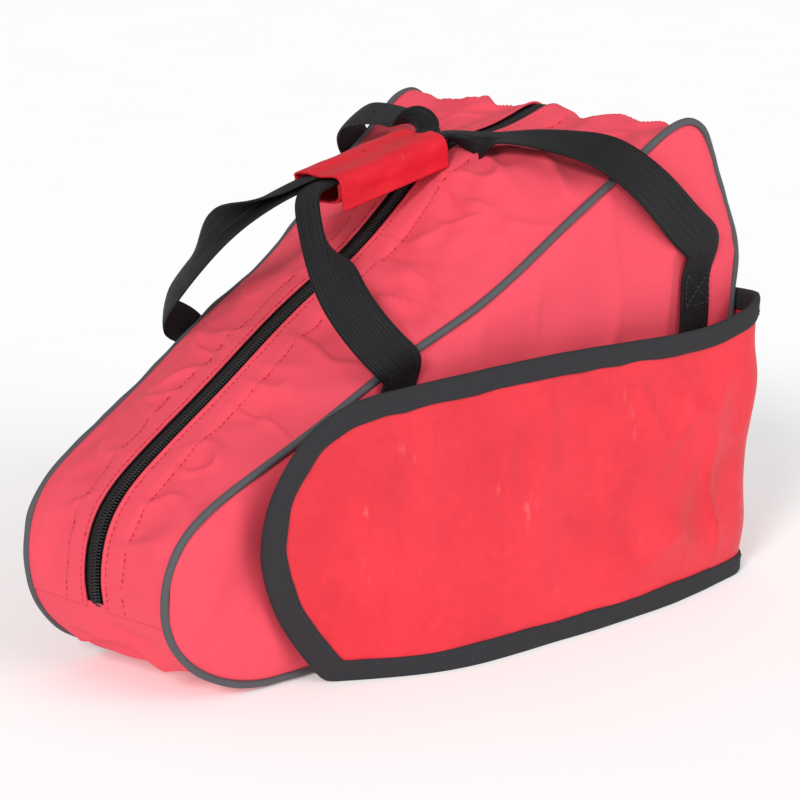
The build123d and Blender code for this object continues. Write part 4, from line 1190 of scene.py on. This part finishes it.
class SKATEBAG_OT_stage(bpy.types.Operator):
    """Build the pale floor, the soft lights and the camera"""
    bl_idname = "skate_bag.stage"
    bl_label = "Stage"

    def execute(self, context):
        stage = settings("stage")
        scene = bpy.context.scene
        reach = 14.0
        corners = [(-reach, -reach, 0), (reach, -reach, 0), (reach, reach, 0), (-reach, reach, 0)]
        floor = build_mesh("floor", corners, [(0, 1, 2, 3)])
        floor.data.materials.append(finish_named("floor"))
        made = [floor]
        target = Vector((0.0205, -0.004, 0.1145))
        for name, azimuth, elevation, spread, power in (
            ("key", -66, 30, 14, 1.6), ("fill", 6, 26, 40, 1.05),
        ):
            lamp = bpy.data.lights.new(name, "SUN")
            lamp.energy, lamp.angle = power * stage.light, math.radians(spread)
            light = bpy.data.objects.new(name, lamp)
            a, e = math.radians(azimuth), math.radians(elevation)
            back_way = Vector((math.sin(a) * math.cos(e), -math.cos(a) * math.cos(e), math.sin(e)))
            light.location = target + back_way * 2
            light.rotation_euler = (-back_way).to_track_quat("-Z", "Y").to_euler()
            scene.collection.objects.link(light)
            made.append(light)
        world = bpy.data.worlds.new("studio")
        world.use_nodes = True
        world.node_tree.nodes["Background"].inputs[0].default_value = (1, 1, 1, 1)
        world.node_tree.nodes["Background"].inputs[1].default_value = 0.44 * stage.light
        scene.world = world
        scene.view_settings.view_transform = "Standard"
        lens = bpy.data.cameras.new("camera")
        lens.lens, lens.sensor_width = stage.lens, 36.0
        lens.clip_start, lens.clip_end = 0.05, 50.0
        camera = bpy.data.objects.new("camera", lens)
        place = Vector((-1.0286, -0.9987, 0.4670))
        roll = math.radians(0.383)
        camera.location = place
        facing = (target - place).to_track_quat("-Z", "Y").to_matrix()
        camera.rotation_euler = (facing @ Matrix.Rotation(-roll, 3, "Z")).to_euler()
        scene.collection.objects.link(camera)
        scene.camera = camera
        made.append(camera)
        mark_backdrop(*made)
        return {"FINISHED"}


STEPS = (
    SKATEBAG_OT_side_panels, SKATEBAG_OT_piping, SKATEBAG_OT_gussets, SKATEBAG_OT_zipper,
    SKATEBAG_OT_pocket, SKATEBAG_OT_handles, SKATEBAG_OT_wrap, SKATEBAG_OT_stage,
)
GROUPS = {"body": SkateBagBody, "zipper": SkateBagZipper, "pocket": SkateBagPocket,
          "handles": SkateBagHandles, "stage": SkateBagStage}


class SKATEBAG_PT_panel(bpy.types.Panel):
    """Settings and steps of the skate bag"""
    bl_label = "Skate Bag"
    bl_space_type = "VIEW_3D"
    bl_region_type = "UI"
    bl_category = "Skate Bag"

    def draw(self, context):
        for name, group in GROUPS.items():
            box = self.layout.box()
            box.label(text=name.capitalize())
            for key in group.__annotations__:
                box.prop(settings(name), key)
        for step in STEPS:
            self.layout.operator(step.bl_idname)


def register():
    for cls in (*GROUPS.values(), *STEPS, SKATEBAG_PT_panel):
        bpy.utils.register_class(cls)
    for name, group in GROUPS.items():
        setattr(bpy.types.Scene, "skate_bag_" + name, PointerProperty(type=group))


def unregister():
    for name in GROUPS:
        delattr(bpy.types.Scene, "skate_bag_" + name)
    for cls in (SKATEBAG_PT_panel, *reversed(STEPS), *reversed(list(GROUPS.values()))):
        bpy.utils.unregister_class(cls)


def main():
    """Build the whole bag."""
    register()
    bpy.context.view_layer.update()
    for step in STEPS:
        getattr(bpy.ops.skate_bag, step.bl_idname.split(".")[1])()


if __name__ == "__main__":
    main()
